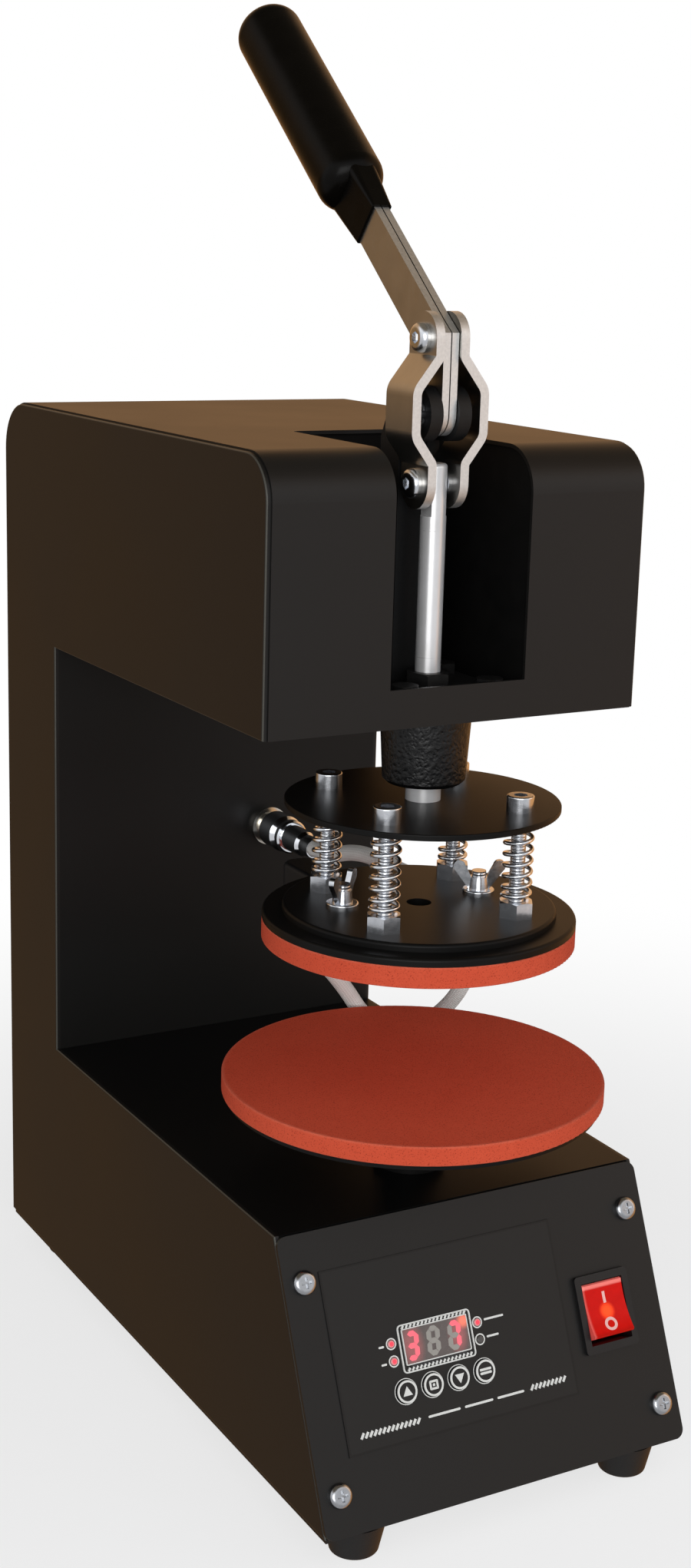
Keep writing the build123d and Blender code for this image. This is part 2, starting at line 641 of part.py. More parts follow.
y_well = Y_BACK + inlet_sheet - (INLET_DEPTH - INLET_FLOOR)
blade_wide, blade_tall, blade_long = INLET_BLADE
for x, z in INLET_BLADES:
    mains_inlet += block(INLET_X - x - blade_wide / 2, INLET_X - x + blade_wide / 2,
                         y_well - 1.0, y_well + blade_long,
                         INLET_Z + z - blade_tall / 2, INLET_Z + z + blade_tall / 2)
save("mains_inlet", mains_inlet)


def rear_screw(x, z, y_seat, rise, length):
    """A small pan head screw driven from behind."""
    turned = Rot(-90, 0, 0) * pan_head(REAR_SCREW, REAR_SCREW_HEAD, rise, length)
    return Pos(x, y_seat, z) * turned


rear_screws = [rear_screw(x, z, Y_BACK, REAR_PROUD, REAR_SCREW_LENGTH) for x, z in rear_spots]
rear_screws += [rear_screw(x, z, Y_BACK + inlet_sheet, REAR_PROUD - inlet_sheet, REAR_SCREW_LENGTH)
                for x, z in inlet_screw_spots]
save("rear_screws", Compound(children=rear_screws))

# Clamp casting: flange on the arm plate, barrel below it, rear arm and the two pivot ears
x_ear = X_CHEEK + EAR_SHEET
z_flange = Z_ARM + FLANGE_THICK
flange = block(-FLANGE_WIDTH / 2, FLANGE_WIDTH / 2, Y_AXIS - FLANGE_FRONT, Y_AXIS + ARM_BACK,
               Z_ARM, z_flange)
flange = fillet(flange.edges().filter_by(Axis.Z), 6.0)
barrel = upright(BARREL_TOP, Z_HEAD, Z_ARM, 0, Y_AXIS)
barrel += Pos(0, Y_AXIS, Z_BARREL_END) * Cone(
    BARREL_END / 2, BARREL_TOP / 2, BARREL_DROP, align=(Align.CENTER, Align.CENTER, Align.MIN))
barrel = chamfer(barrel.edges().sort_by(Axis.Z)[0], BARREL_CHAMFER)
ear_face = make_face(
    Polyline((Y_AXIS + ARM_BACK, z_flange - 1), (Y_AXIS + ARM_BACK, Z_PIVOT - EAR_RADIUS),
             (Y_AXIS + ARM_FRONT, Z_PIVOT + EAR_RADIUS), (Y_AXIS, Z_PIVOT + EAR_RADIUS))
    + ThreePointArc((Y_AXIS, Z_PIVOT + EAR_RADIUS), (Y_AXIS - EAR_RADIUS, Z_PIVOT),
                    (Y_AXIS, Z_PIVOT - EAR_RADIUS))
    + Polyline((Y_AXIS, Z_PIVOT - EAR_RADIUS), (Y_AXIS + EAR_RADIUS + 1.5, Z_PIVOT - EAR_RADIUS),
               (Y_AXIS + EAR_RADIUS + 1.5, z_flange - 1), (Y_AXIS + ARM_BACK, z_flange - 1)))
ears = side_view(ear_face, -x_ear, x_ear)
ears -= block(-X_CHEEK, X_CHEEK, Y_AXIS - 2 * EAR_RADIUS, Y_AXIS + ARM_FRONT,
              Z_PIVOT - 3 * EAR_RADIUS, Z_PIVOT + 2 * EAR_RADIUS)
clamp_casting = flange + barrel + ears
clamp_casting -= upright(ROD_DIAMETER + 2 * ROD_FIT, Z_BARREL_END - 1, z_flange + 1, 0, Y_AXIS)
clamp_casting -= across(PIVOT_PIN + 2 * PIN_FIT, -x_ear - 1, x_ear + 1, Y_AXIS, Z_PIVOT)
for x, y in clamp_spots:
    clamp_casting -= upright(CLAMP_BOLT + SLIDE_FIT, Z_ARM - 1, z_flange + 1, x, y)
save("clamp_casting", clamp_casting)
clamp_bolts = [hex_bolt(x, y, z_flange, CLAMP_BOLT, FLANGE_THICK + ARM_PLATE) for x, y in clamp_spots]
save("clamp_bolts", Compound(children=clamp_bolts))
save("rod_guide_nut", hexagon(GUIDE_NUT_FLATS, z_flange, z_flange + GUIDE_NUT_HEIGHT, 0, Y_AXIS,
                              ROD_DIAMETER + 2 * ROD_FIT))
clip_out = x_ear + CLIP_GAP + CLIP_THICK
pivot_pin = across(PIVOT_PIN, -clip_out - 0.8, clip_out + 0.8, Y_AXIS, Z_PIVOT)
pivot_pin = chamfer(pivot_pin.edges().filter_by(GeomType.CIRCLE), 0.4)
save("pivot_pin", pivot_pin)
clips = []
for side in (-1, 1):
    x_mid = side * (x_ear + CLIP_GAP + CLIP_THICK / 2)
    ring = across(CLIP_DIAMETER, x_mid - CLIP_THICK / 2, x_mid + CLIP_THICK / 2, Y_AXIS, Z_PIVOT)
    ring -= across(PIVOT_PIN, x_mid - CLIP_THICK, x_mid + CLIP_THICK, Y_AXIS, Z_PIVOT)
    ring -= block(x_mid - 2, x_mid + 2, Y_AXIS - CLIP_DIAMETER, Y_AXIS,
                  Z_PIVOT - 1.6, Z_PIVOT + 1.6)
    clips.append(ring)
save("pivot_clips", Compound(children=clips))

# Handle: two bent bars and a moulded grip, drawn round the upper link pin
lean = math.radians(HANDLE_LEAN)
along = (math.sin(lean), math.cos(lean))
normal = (-math.cos(lean), math.sin(lean))


def handle_point(reach, rise):
    """A point in Y and Z, so far along the leaning handle and so far towards its upper side."""
    rise -= HANDLE_DROP
    y = Y_AXIS + along[0] * reach + normal[0] * rise
    z = Z_UPPER_PIN + along[1] * reach + normal[1] * rise
    return (y, z)


half_bar = BAR_WIDTH / 2
tang_end = NECK_START + TANG_LENGTH
upper_edge_z = Z_UPPER_PIN + half_bar * 0.25
rear_reach = (Y_AXIS + half_bar - handle_point(0, -half_bar)[0]) / along[0]
rear_corner = handle_point(rear_reach, -half_bar)
bar_outline = Polyline(
    (Y_AXIS + BAR_FOOT_RADIUS, Z_PIVOT), (Y_AXIS + half_bar, Z_PIVOT + BAR_FOOT_RADIUS), rear_corner,
    handle_point(tang_end, -half_bar), handle_point(tang_end, half_bar),
    handle_point(0.35 * half_bar, half_bar), (Y_AXIS - half_bar, upper_edge_z),
    (Y_AXIS - half_bar, Z_PIVOT + BAR_FOOT_RADIUS), (Y_AXIS - BAR_FOOT_RADIUS, Z_PIVOT))
bar_face = make_face(bar_outline + ThreePointArc(
    (Y_AXIS - BAR_FOOT_RADIUS, Z_PIVOT), (Y_AXIS, Z_PIVOT - BAR_FOOT_RADIUS),
    (Y_AXIS + BAR_FOOT_RADIUS, Z_PIVOT)))
bars = []
for side in (-1, 1):
    low = min(side * BAR_SPLIT / 2, side * HALF_STACK)
    bar = side_view(bar_face, low, low + BAR_SHEET)
    bar -= across(PIVOT_PIN + 2 * PIN_FIT, low - 1, low + BAR_SHEET + 1, Y_AXIS, Z_PIVOT)
    bar -= across(LINK_PIN + 2 * PIN_FIT, low - 1, low + BAR_SHEET + 1, Y_AXIS, Z_UPPER_PIN)
    bars.append(bar)
save("handle_bars", Compound(children=bars))

grip_start = NECK_START + NECK_LENGTH
grip_plane = Plane(origin=(0, *handle_point(0, 0)), x_dir=(1, 0, 0), z_dir=(0, *along))
radius = GRIP_DIAMETER / 2
end_ring = GRIP_LENGTH - GRIP_END_ROUND
bulge = 1 - math.sqrt(0.5)
grip_profile = make_face(
    Polyline((0, 0), (radius - GRIP_SHOULDER, 0))
    + ThreePointArc((radius - GRIP_SHOULDER, 0),
                    (radius - GRIP_SHOULDER * bulge, GRIP_SHOULDER * bulge), (radius, GRIP_SHOULDER))
    + Line((radius, GRIP_SHOULDER), (radius, end_ring))
    + ThreePointArc((radius, end_ring),
                    (radius - GRIP_END_ROUND * bulge, GRIP_LENGTH - GRIP_END_ROUND * bulge),
                    (radius - GRIP_END_ROUND, GRIP_LENGTH))
    + Polyline((radius - GRIP_END_ROUND, GRIP_LENGTH), (0, GRIP_LENGTH), (0, 0)))
grip_round = revolve(Plane.XZ * grip_profile, Axis.Z)
neck_thick = 2 * (HALF_STACK + NECK_WALL)
neck_width = BAR_WIDTH + 2 * NECK_WALL
neck_mouth = Pos(0, 0, -NECK_LENGTH) * RectangleRounded(neck_thick, neck_width, NECK_WALL)
neck_root = Pos(0, 0, GRIP_SHOULDER / 2) * RectangleRounded(
    neck_thick + NECK_SPREAD, neck_width + NECK_SPREAD, NECK_WALL + NECK_SPREAD / 2)
neck = loft([neck_mouth, neck_root])
pocket = Pos(0, 0, (NECK_START + tang_end) / 2 - grip_start) * Box(
    2 * HALF_STACK + 2 * PIN_FIT, BAR_WIDTH + 2 * PIN_FIT, TANG_LENGTH + SLIDE_FIT)
grip_solid = neck + grip_round - pocket
grip = grip_plane * Pos(0, 0, grip_start) * grip_solid
save("handle_grip", grip)


def domed_head(x_seat, outwards, diameter, rise, y, z):
    """A button head with a hexagon socket, seated at one X and rising outwards."""
    head = Cylinder(diameter / 2, rise, align=(Align.CENTER, Align.CENTER, Align.MIN))
    head = fillet(head.edges().sort_by(Axis.Z)[-1], rise * 0.7)
    socket_corner = PIN_HEAD_SOCKET / 2 / math.cos(math.radians(30))
    head -= Pos(0, 0, rise * 0.4) * extrude(RegularPolygon(socket_corner, 6), amount=rise)
    return Pos(x_seat, y, z) * Rot(0, 90 * outwards, 0) * head


x_link_out = X_CHEEK + LINK_SHEET
x_head = x_link_out + PIN_FIT
x_low_head = X_FOOT + LINK_SHEET + PIN_FIT
upper_pin = across(LINK_PIN, -x_head - 0.5, x_head + 0.5, Y_AXIS, Z_UPPER_PIN)
for side in (-1, 1):
    upper_pin += domed_head(side * x_head, side, PIN_HEAD, PIN_HEAD_RISE, Y_AXIS, Z_UPPER_PIN)
save("upper_link_pin", upper_pin)


def bowed_link(side):
    """A link pressed from strip: pinched at both pins and bowed round the pivot ears."""
    z_top = Z_UPPER_PIN + LINK_WIDTH / 2
    z_low = Z_LOWER_PIN - LINK_WIDTH / 2
    z1 = Z_UPPER_PIN - LINK_END_UP
    z2 = z1 - LINK_FLARE_UP
    z4 = Z_LOWER_PIN + LINK_END_LOW
    z3 = z4 + LINK_FLARE_LOW
    x0 = X_CHEEK
    x1 = X_CHEEK + LINK_BOW
    path = FilletPolyline((x0, z_top), (x0, z1), (x1, z2), (x1, z3), (X_FOOT, z4), (X_FOOT, z_low),
                          radius=LINK_BEND)
    strip = make_face(offset(path, amount=LINK_SHEET, side=Side.LEFT))
    if strip.bounding_box().min.X < x0 - 0.1:
        strip = make_face(offset(path, amount=LINK_SHEET, side=Side.RIGHT))
    whole = extrude(Plane.XZ * strip, amount=LINK_WIDTH / 2, both=True)
    outline = make_face(
        ThreePointArc((-LINK_WIDTH / 2, Z_UPPER_PIN), (0, z_top), (LINK_WIDTH / 2, Z_UPPER_PIN))
        + Line((LINK_WIDTH / 2, Z_UPPER_PIN), (LINK_WIDTH / 2, Z_LOWER_PIN))
        + ThreePointArc((LINK_WIDTH / 2, Z_LOWER_PIN), (0, z_low), (-LINK_WIDTH / 2, Z_LOWER_PIN))
        + Line((-LINK_WIDTH / 2, Z_LOWER_PIN), (-LINK_WIDTH / 2, Z_UPPER_PIN)))
    link = Pos(0, Y_AXIS, 0) * (whole & side_view(outline, 0, 3 * LINK_BOW + x0))
    for z in (Z_UPPER_PIN, Z_LOWER_PIN):
        link -= across(LINK_PIN + 2 * PIN_FIT, 0, 3 * LINK_BOW, Y_AXIS, z)
    return link if side > 0 else mirror(link, Plane.YZ)


save("right_link", bowed_link(1))
save("left_link", bowed_link(-1))

# Lower link pins: one headed stub to each side of the rod's tongue, with a spacing collar
stubs = []
for side in (-1, 1):
    x_in = TONGUE_THICK / 2 + SIDE_CLEARANCE
    ends = sorted((side * x_in, side * (x_low_head + 0.5)))
    stub = across(LINK_PIN, ends[0], ends[1], Y_AXIS, Z_LOWER_PIN)
    ends = sorted((side * x_in, side * (X_FOOT - PIN_FIT)))
    stub += across(LINK_PIN + 3.5, ends[0], ends[1], Y_AXIS, Z_LOWER_PIN)
    stub += domed_head(side * x_low_head, side, PIN_HEAD, PIN_HEAD_RISE, Y_AXIS, Z_LOWER_PIN)
    stubs.append(stub)
save("lower_link_pins", Compound(children=stubs))

# Plunger rod with its flat tongue, and the nut under the top disc
z_tongue_top = Z_LOWER_PIN + TONGUE_TOP
z_shoulder = Z_LOWER_PIN - TONGUE_SHOULDER
z_rod_low = Z_TOP_DISC_LOW - ROD_NUT_HEIGHT - 2.0
rod = upright(ROD_DIAMETER, z_rod_low, z_tongue_top, 0, Y_AXIS)
rod = fillet(rod.edges().sort_by(Axis.Z)[-1], 1.5)
for side in (-1, 1):
    ends = sorted((side * TONGUE_THICK / 2, side * ROD_DIAMETER))
    rod -= block(ends[0], ends[1], Y_AXIS - ROD_DIAMETER, Y_AXIS + ROD_DIAMETER,
                 z_shoulder, z_tongue_top + 1)
rod -= across(LINK_PIN + 2 * PIN_FIT, -ROD_DIAMETER, ROD_DIAMETER, Y_AXIS, Z_LOWER_PIN)
rod += upright(ROD_COLLAR, Z_TOP_DISC, Z_BARREL_END - ROD_COLLAR_GAP, 0, Y_AXIS)
save("plunger_rod", rod)
save("rod_nut", hexagon(ROD_NUT_FLATS, Z_TOP_DISC_LOW - ROD_NUT_HEIGHT, Z_TOP_DISC_LOW, 0, Y_AXIS,
                        ROD_DIAMETER + 2 * PIN_FIT))

# Spring carrier disc
bolt_spots = []
for quarter in range(4):
    angle = math.radians(45 + BOLT_TURN + 90 * quarter)
    bolt_spots.append((BOLT_CIRCLE / 2 * math.cos(angle), Y_AXIS + BOLT_CIRCLE / 2 * math.sin(angle)))
turn = math.radians(BOLT_TURN)
wing_spots = [(side * WING_SPREAD * math.cos(turn), Y_AXIS + WING_BACK + side * WING_SPREAD * math.sin(turn))
              for side in (-1, 1)]
top_disc = upright(TOP_DISC_DIAMETER, Z_TOP_DISC_LOW, Z_TOP_DISC, 0, Y_AXIS)
top_disc = fillet(top_disc.edges(), 0.5)
top_disc -= upright(ROD_DIAMETER + 2 * PIN_FIT, Z_TOP_DISC_LOW - 1, Z_TOP_DISC + 1, 0, Y_AXIS)
for x, y in bolt_spots:
    top_disc -= upright(SPRING_BOLT + 2 * SLIDE_FIT, Z_TOP_DISC_LOW - 1, Z_TOP_DISC + 1, x, y)
save("spring_carrier_disc", top_disc)

# Heating plate: stepped cover disc, plate and upper pad
step_disc = upright(STEP_DISC_DIAMETER, Z_STEP_LOW, Z_HEATER, 0, Y_AXIS)
step_disc = fillet(step_disc.edges().sort_by(Axis.Z)[-1], HEATER_EDGE_ROUND)
step_disc -= upright(CENTRE_HOLE, Z_STEP_LOW - 1, Z_HEATER + 1, 0, Y_AXIS)
for x, y in bolt_spots:
    step_disc -= upright(SPRING_BOLT + 2 * PIN_FIT, Z_STEP_LOW - 1, Z_HEATER + 1, x, y)
for x, y in wing_spots:
    step_disc -= upright(WING_STUD + 2 * PIN_FIT, Z_STEP_LOW - 1, Z_HEATER + 1, x, y)
save("heater_cover_disc", step_disc)
heater_plate = upright(HEATER_DIAMETER, Z_HEATER_LOW, Z_STEP_LOW, 0, Y_AXIS)
heater_plate = fillet(heater_plate.edges().sort_by(Axis.Z)[-1], HEATER_EDGE_ROUND)
save("heating_plate", heater_plate)
upper_pad = upright(UPPER_PAD_DIAMETER, Z_UPPER_PAD_LOW, Z_HEATER_LOW, 0, Y_AXIS)
upper_pad = fillet(upper_pad.edges(), PAD_EDGE_ROUND)
save("upper_pad", upper_pad)


def spring_bolt(x, y):
    """A socket head cap screw standing in the heating plate's cover."""
    head = upright(BOLT_HEAD, Z_TOP_DISC, Z_TOP_DISC + BOLT_HEAD_HEIGHT, x, y)
    head = fillet(head.edges().sort_by(Axis.Z)[-1], 0.6)
    socket = Pos(x, y, Z_TOP_DISC + BOLT_HEAD_HEIGHT / 2) * extrude(
        RegularPolygon(HEX_SOCKET / 2 / math.cos(math.radians(30)), 6), amount=BOLT_HEAD_HEIGHT)
    return head - socket + upright(SPRING_BOLT, Z_STEP_LOW, Z_TOP_DISC, x, y)


save("spring_bolts", Compound(children=[spring_bolt(x, y) for x, y in bolt_spots]))
z_seat = Z_HEATER + SEAT_NUT_HEIGHT
seat_nuts = [hexagon(SEAT_NUT_FLATS, Z_HEATER, z_seat, x, y, SPRING_BOLT + 2 * PIN_FIT)
             for x, y in bolt_spots]
save("spring_seat_nuts", Compound(children=seat_nuts))

# Pressure springs
spring_low = z_seat + SPRING_FREE_GAP + SPRING_WIRE / 2
spring_high = Z_TOP_DISC_LOW - SPRING_SEAT_GAP - SPRING_WIRE / 2
mean_radius = (SPRING_OUTER - SPRING_WIRE) / 2
active_pitch = (spring_high - spring_low - 2 * SPRING_END_PITCH) / (SPRING_TURNS - 2)


def coil_height(turns):
    """Height of the wire's centre after so many turns: close end turns, even turns between."""
    start = min(turns, 1.0) * SPRING_END_PITCH
    middle = min(max(turns - 1.0, 0.0), SPRING_TURNS - 2) * active_pitch
    last = max(turns - (SPRING_TURNS - 1), 0.0) * SPRING_END_PITCH
    return spring_low + start + middle + last


def coil_point(turns):
    """Point on the wire's centre line."""
    angle = 2 * math.pi * turns
    return Vector(mean_radius * math.cos(angle), mean_radius * math.sin(angle), coil_height(turns))


def coil_tangent(turns):
    """Direction of the wire, its slope blended where the pitch changes."""
    step = 0.25
    low = max(turns - step, 0.0)
    high = min(turns + step, float(SPRING_TURNS))
    slope = (coil_height(high) - coil_height(low)) / (high - low)
    if turns in (0.0, float(SPRING_TURNS)):
        slope = SPRING_END_PITCH
    angle = 2 * math.pi * turns
    around = 2 * math.pi * mean_radius
    return Vector(-around * math.sin(angle), around * math.cos(angle), slope).normalized()


def tangent_arc(start, direction, end):
    """The arc that leaves start along direction and reaches end."""
    chord = end - start
    half = direction.get_angle(chord) / 2
    lift = chord.length / 2 * math.tan(math.radians(half))
    side = (direction - chord.normalized() * direction.dot(chord.normalized())).normalized()
    return ThreePointArc(start, start + chord * 0.5 + side * lift, end)


def biarc(start, start_dir, end, end_dir):
    """Two arcs that share a tangent, from one point and direction to another."""
    chord = end - start
    both = start_dir + end_dir
    a = 2 * (start_dir.dot(end_dir) - 1)
    b = -2 * chord.dot(both)
    c = chord.dot(chord)
    reach = (-b - math.sqrt(b * b - 4 * a * c)) / (2 * a)
    joint = (start + start_dir * reach + end - end_dir * reach) * 0.5
    middle_dir = (joint - (start + start_dir * reach)).normalized()
    return [tangent_arc(start, start_dir, joint), tangent_arc(joint, middle_dir, end)]


arcs = []
for half_turn in range(2 * SPRING_TURNS):
    t0 = half_turn / 2
    t1 = t0 + 0.5
    arcs += biarc(coil_point(t0), coil_tangent(t0), coil_point(t1), coil_tangent(t1))
coil_path = Wire(arcs)
coil_start = Plane(origin=coil_path @ 0, z_dir=coil_path % 0)
spring = sweep(coil_start * Circle(SPRING_WIRE / 2), path=coil_path)
samples = [coil_point(n / 24) for n in range(24 * SPRING_TURNS + 1)]
least = min((samples[i] - samples[j]).length for i in range(len(samples))
            for j in range(i + 12, len(samples))) - SPRING_WIRE
print("spring least gap to itself", round(least, 2), "volume against wire times length",
      round(spring.volume / (math.pi * SPRING_WIRE ** 2 / 4 * coil_path.length), 4))
springs = [Pos(x, y, 0) * spring for x, y in bolt_spots]
save("pressure_springs", Compound(children=springs))

# Studs and wing nuts that hold the heating plate to its cover
studs = [upright(WING_STUD, Z_STEP_LOW, Z_HEATER + WING_HUB_HEIGHT + 2.5, x, y) for x, y in wing_spots]
save("heater_studs", Compound(children=studs))


def wing_nut(x, y, turned):
    """A wing nut with a round flange and two splayed ears."""
    flange_disc = Cylinder(WING_FLANGE / 2, WING_FLANGE_THICK, align=(Align.CENTER, Align.CENTER, Align.MIN))
    flange_disc = fillet(flange_disc.edges().sort_by(Axis.Z)[-1], 0.6)
    hub = Cone(WING_HUB / 2, WING_HUB / 2 - 0.7, WING_HUB_HEIGHT,
               align=(Align.CENTER, Align.CENTER, Align.MIN))
    wing_face = make_face(
        Polyline((2.9, WING_FLANGE_THICK), (4.2, WING_FLANGE_THICK), (WING_REACH - 0.6, WING_RISE - 4.4))
        + ThreePointArc((WING_REACH - 0.6, WING_RISE - 4.4), (WING_REACH - 1.2, WING_RISE - 0.4),
                        (WING_REACH - 4.6, WING_RISE - 2.2))
        + Polyline((WING_REACH - 4.6, WING_RISE - 2.2), (2.9, WING_HUB_HEIGHT - 0.6),
                   (2.9, WING_FLANGE_THICK)))
    wing = extrude(Plane.XZ * wing_face, amount=WING_THICK / 2, both=True)
    nut = flange_disc + hub + wing + mirror(wing, Plane.YZ)
    nut -= Cylinder(WING_STUD / 2 + PIN_FIT, 4 * WING_RISE)
    return Pos(x, y, Z_HEATER) * Rot(0, 0, turned) * nut


save("left_wing_nut", wing_nut(*wing_spots[0], WING_TURNS[0]))
save("right_wing_nut", wing_nut(*wing_spots[1], WING_TURNS[1]))

# Lower pad on its disc and post, and the bridge in the base that carries them
lower_pad = upright(LOWER_PAD_DIAMETER, Z_LOWER_PAD_LOW, Z_LOWER_PAD, 0, Y_AXIS)
lower_pad = fillet(lower_pad.edges(), PAD_EDGE_ROUND)
save("lower_pad", lower_pad)
lower_disc = upright(LOWER_DISC_DIAMETER, Z_LOWER_DISC_LOW, Z_LOWER_PAD_LOW, 0, Y_AXIS)
save("lower_disc", lower_disc)
z_bridge = Z_BASE - COVER_SHEET
post = upright(POST_DIAMETER, z_bridge, Z_LOWER_DISC_LOW, 0, Y_AXIS)
post += upright(POST_FLANGE, Z_BASE, Z_BASE + POST_FLANGE_THICK, 0, Y_AXIS)
save("lower_post", post)
y_bridge = Y_AXIS + BRIDGE_BACKSET
bridge = block(-BRIDGE_WIDTH / 2, BRIDGE_WIDTH / 2, y_bridge - BRIDGE_LENGTH / 2,
               y_bridge + BRIDGE_LENGTH / 2, Z_BODY, z_bridge)
bridge -= block(-BRIDGE_WIDTH / 2 + BRIDGE_SHEET, BRIDGE_WIDTH / 2 - BRIDGE_SHEET,
                y_bridge - BRIDGE_LENGTH, y_bridge + BRIDGE_LENGTH, Z_BODY - 1, z_bridge - BRIDGE_SHEET)
for side in (-1, 1):
    ends = sorted((side * (BRIDGE_WIDTH / 2 - BRIDGE_SHEET), side * (BRIDGE_WIDTH / 2 - BRIDGE_FOOT)))
    bridge += block(ends[0], ends[1], y_bridge - BRIDGE_LENGTH / 2, y_bridge + BRIDGE_LENGTH / 2,
                    Z_BODY, Z_BODY + BRIDGE_SHEET)
save("base_bridge", bridge)

# Control panel
panel_low = SLOPE_LENGTH
front_panel = panel_box(-X_SIDE, X_SIDE, 0, panel_low, -PANEL_SHEET, 0)
normal_dir = Vector(0, -math.cos(math.radians(SLOPE_ANGLE)), math.sin(math.radians(SLOPE_ANGLE)))
thin_edges = [e for e in front_panel.edges() if abs((e % 0.5).dot(normal_dir)) > 0.99]
front_panel = fillet(thin_edges, PANEL_CORNER)
for x, down in panel_screw_spots:
    front_panel -= panel_peg(PANEL_SCREW + SLIDE_FIT, x, down, -9, 9)
window_hole = (WINDOW_LEFT + WINDOW_FRAME, WINDOW_RIGHT - WINDOW_FRAME,
               WINDOW_TOP + WINDOW_FRAME, WINDOW_LOW - WINDOW_FRAME)
button_spots = [(BUTTON_FIRST_X + n * BUTTON_PITCH, BUTTON_DOWN) for n in range(4)]
led_spots = [(x, down) for x in (LED_LEFT_X, LED_RIGHT_X) for down in (LED_UPPER, LED_LOWER)]
overlay = panel_box(OVERLAY_LEFT, OVERLAY_RIGHT, OVERLAY_TOP, OVERLAY_LOW, 0, OVERLAY_FILM)
cuts = panel_box(*window_hole, -9, 9)
for x, down in button_spots:
    cuts += panel_peg(BUTTON_DIAMETER + 2 * BUTTON_GAP, x, down, -9, 9)
for x, down in led_spots:
    cuts += panel_peg(LED_DIAMETER + 2 * PIN_FIT, x, down, -9, 9)
overlay -= cuts
front_panel -= cuts
switch_hole = (SWITCH_X - BEZEL_WIDTH / 2 + BEZEL_LIP, SWITCH_X + BEZEL_WIDTH / 2 - BEZEL_LIP,
               SWITCH_DOWN - BEZEL_HEIGHT / 2 + BEZEL_LIP, SWITCH_DOWN + BEZEL_HEIGHT / 2 - BEZEL_LIP)
front_panel -= panel_box(*switch_hole, -9, 9)
save("front_panel", front_panel)
save("panel_overlay", overlay)
screws = [on_panel(x, down, pan_head(PANEL_SCREW, PANEL_SCREW_HEAD, PANEL_SCREW_RISE, 9.0))
          for x, down in panel_screw_spots]
save("panel_screws", Compound(children=screws))

lens_size = (window_hole[0] + PIN_FIT, window_hole[1] - PIN_FIT,
             window_hole[2] + PIN_FIT, window_hole[3] - PIN_FIT)
lens = panel_box(*lens_size, -PANEL_SHEET, OVERLAY_FILM + LENS_RISE)
lens += panel_box(window_hole[0] - 1.0, window_hole[1] + 1.0, window_hole[2] - 1.0, window_hole[3] + 1.0,
                  -PANEL_SHEET - 1.0, -PANEL_SHEET)
save("display_lens", lens)
z_module = -PANEL_SHEET - 1.0
module = panel_box(window_hole[0] - 1.0, window_hole[1] + 1.0, window_hole[2] - 1.0, window_hole[3] + 1.0,
                   z_module - MODULE_DEPTH, z_module)
save("digit_module", module)
z_board = z_module - MODULE_DEPTH
leds = []
for x, down in led_spots:
    lamp = panel_peg(LED_DIAMETER, x, down, z_board, OVERLAY_FILM + LED_RISE)
    top_edge = lamp.edges().sort_by(lambda e: e.center().dot(normal_dir))[-1]
    leds.append(fillet(top_edge, CAP_ROUND))
save("indicator_leds", Compound(children=leds))
board_mid_x = (OVERLAY_LEFT + OVERLAY_RIGHT) / 2 - 4.0
board_mid = (WINDOW_TOP + BUTTON_DOWN) / 2 + 2.0
board = panel_box(board_mid_x - BOARD_WIDTH / 2, board_mid_x + BOARD_WIDTH / 2,
                  board_mid - BOARD_HEIGHT / 2, board_mid + BOARD_HEIGHT / 2,
                  z_board - BOARD_SHEET, z_board)
for sx in (-1, 1):
    for sy in (-1, 1):
        x = board_mid_x + sx * (BOARD_WIDTH / 2 - BOARD_PEG_INSET)
        down = board_mid + sy * (BOARD_HEIGHT / 2 - BOARD_PEG_INSET)
        board += panel_peg(BOARD_PEG, x, down, z_board, -PANEL_SHEET)
for x, down in button_spots:
    board += panel_box(x - KEY_SWITCH / 2, x + KEY_SWITCH / 2, down - KEY_SWITCH / 2, down + KEY_SWITCH / 2,
                       z_board, z_board + KEY_SWITCH_HEIGHT)
save("control_board", board)


def button(x, down):
    """A round key cap with a retaining flange behind the panel."""
    cap = panel_peg(BUTTON_DIAMETER, x, down, -PANEL_SHEET - BUTTON_FLANGE, OVERLAY_FILM + BUTTON_RISE)
    top_edge = cap.edges().sort_by(lambda e: e.center().dot(normal_dir))[-1]
    cap = fillet(top_edge, CAP_ROUND)
    flange_low = -PANEL_SHEET - BUTTON_FLANGE - BUTTON_BACK_GAP
    cap += panel_peg(BUTTON_FLANGE_DIAMETER, x, down, flange_low - 1.0, -PANEL_SHEET - BUTTON_BACK_GAP)
    stem_low = z_board + KEY_SWITCH_HEIGHT + BUTTON_TRAVEL + BUTTON_BACK_GAP
    cap += panel_peg(BUTTON_STEM, x, down, stem_low, flange_low)
    return cap


for name, (x, down) in zip(("up", "mode", "down", "set"), button_spots):
    save(f"button_{name}", button(x, down))

# Power switch
bezel = panel_box(SWITCH_X - BEZEL_WIDTH / 2, SWITCH_X + BEZEL_WIDTH / 2,
                  SWITCH_DOWN - BEZEL_HEIGHT / 2, SWITCH_DOWN + BEZEL_HEIGHT / 2, 0, BEZEL_RISE)
bezel = fillet([e for e in bezel.edges() if abs((e % 0.5).dot(normal_dir)) > 0.99], 1.5)
case = panel_box(*[v + PIN_FIT * s for v, s in zip(switch_hole, (2, -2, 2, -2))], -SWITCH_DEPTH, 0)
mouth = panel_box(SWITCH_X - ROCKER_WIDTH / 2 - SIDE_CLEARANCE, SWITCH_X + ROCKER_WIDTH / 2 + SIDE_CLEARANCE,
                  SWITCH_DOWN - ROCKER_HEIGHT / 2 - ROCKER_END_GAP,
                  SWITCH_DOWN + ROCKER_HEIGHT / 2 + ROCKER_END_GAP,
                  -SWITCH_DEPTH + 6.0, BEZEL_RISE + 1)
axle_out = -ROCKER_AXLE_DEPTH
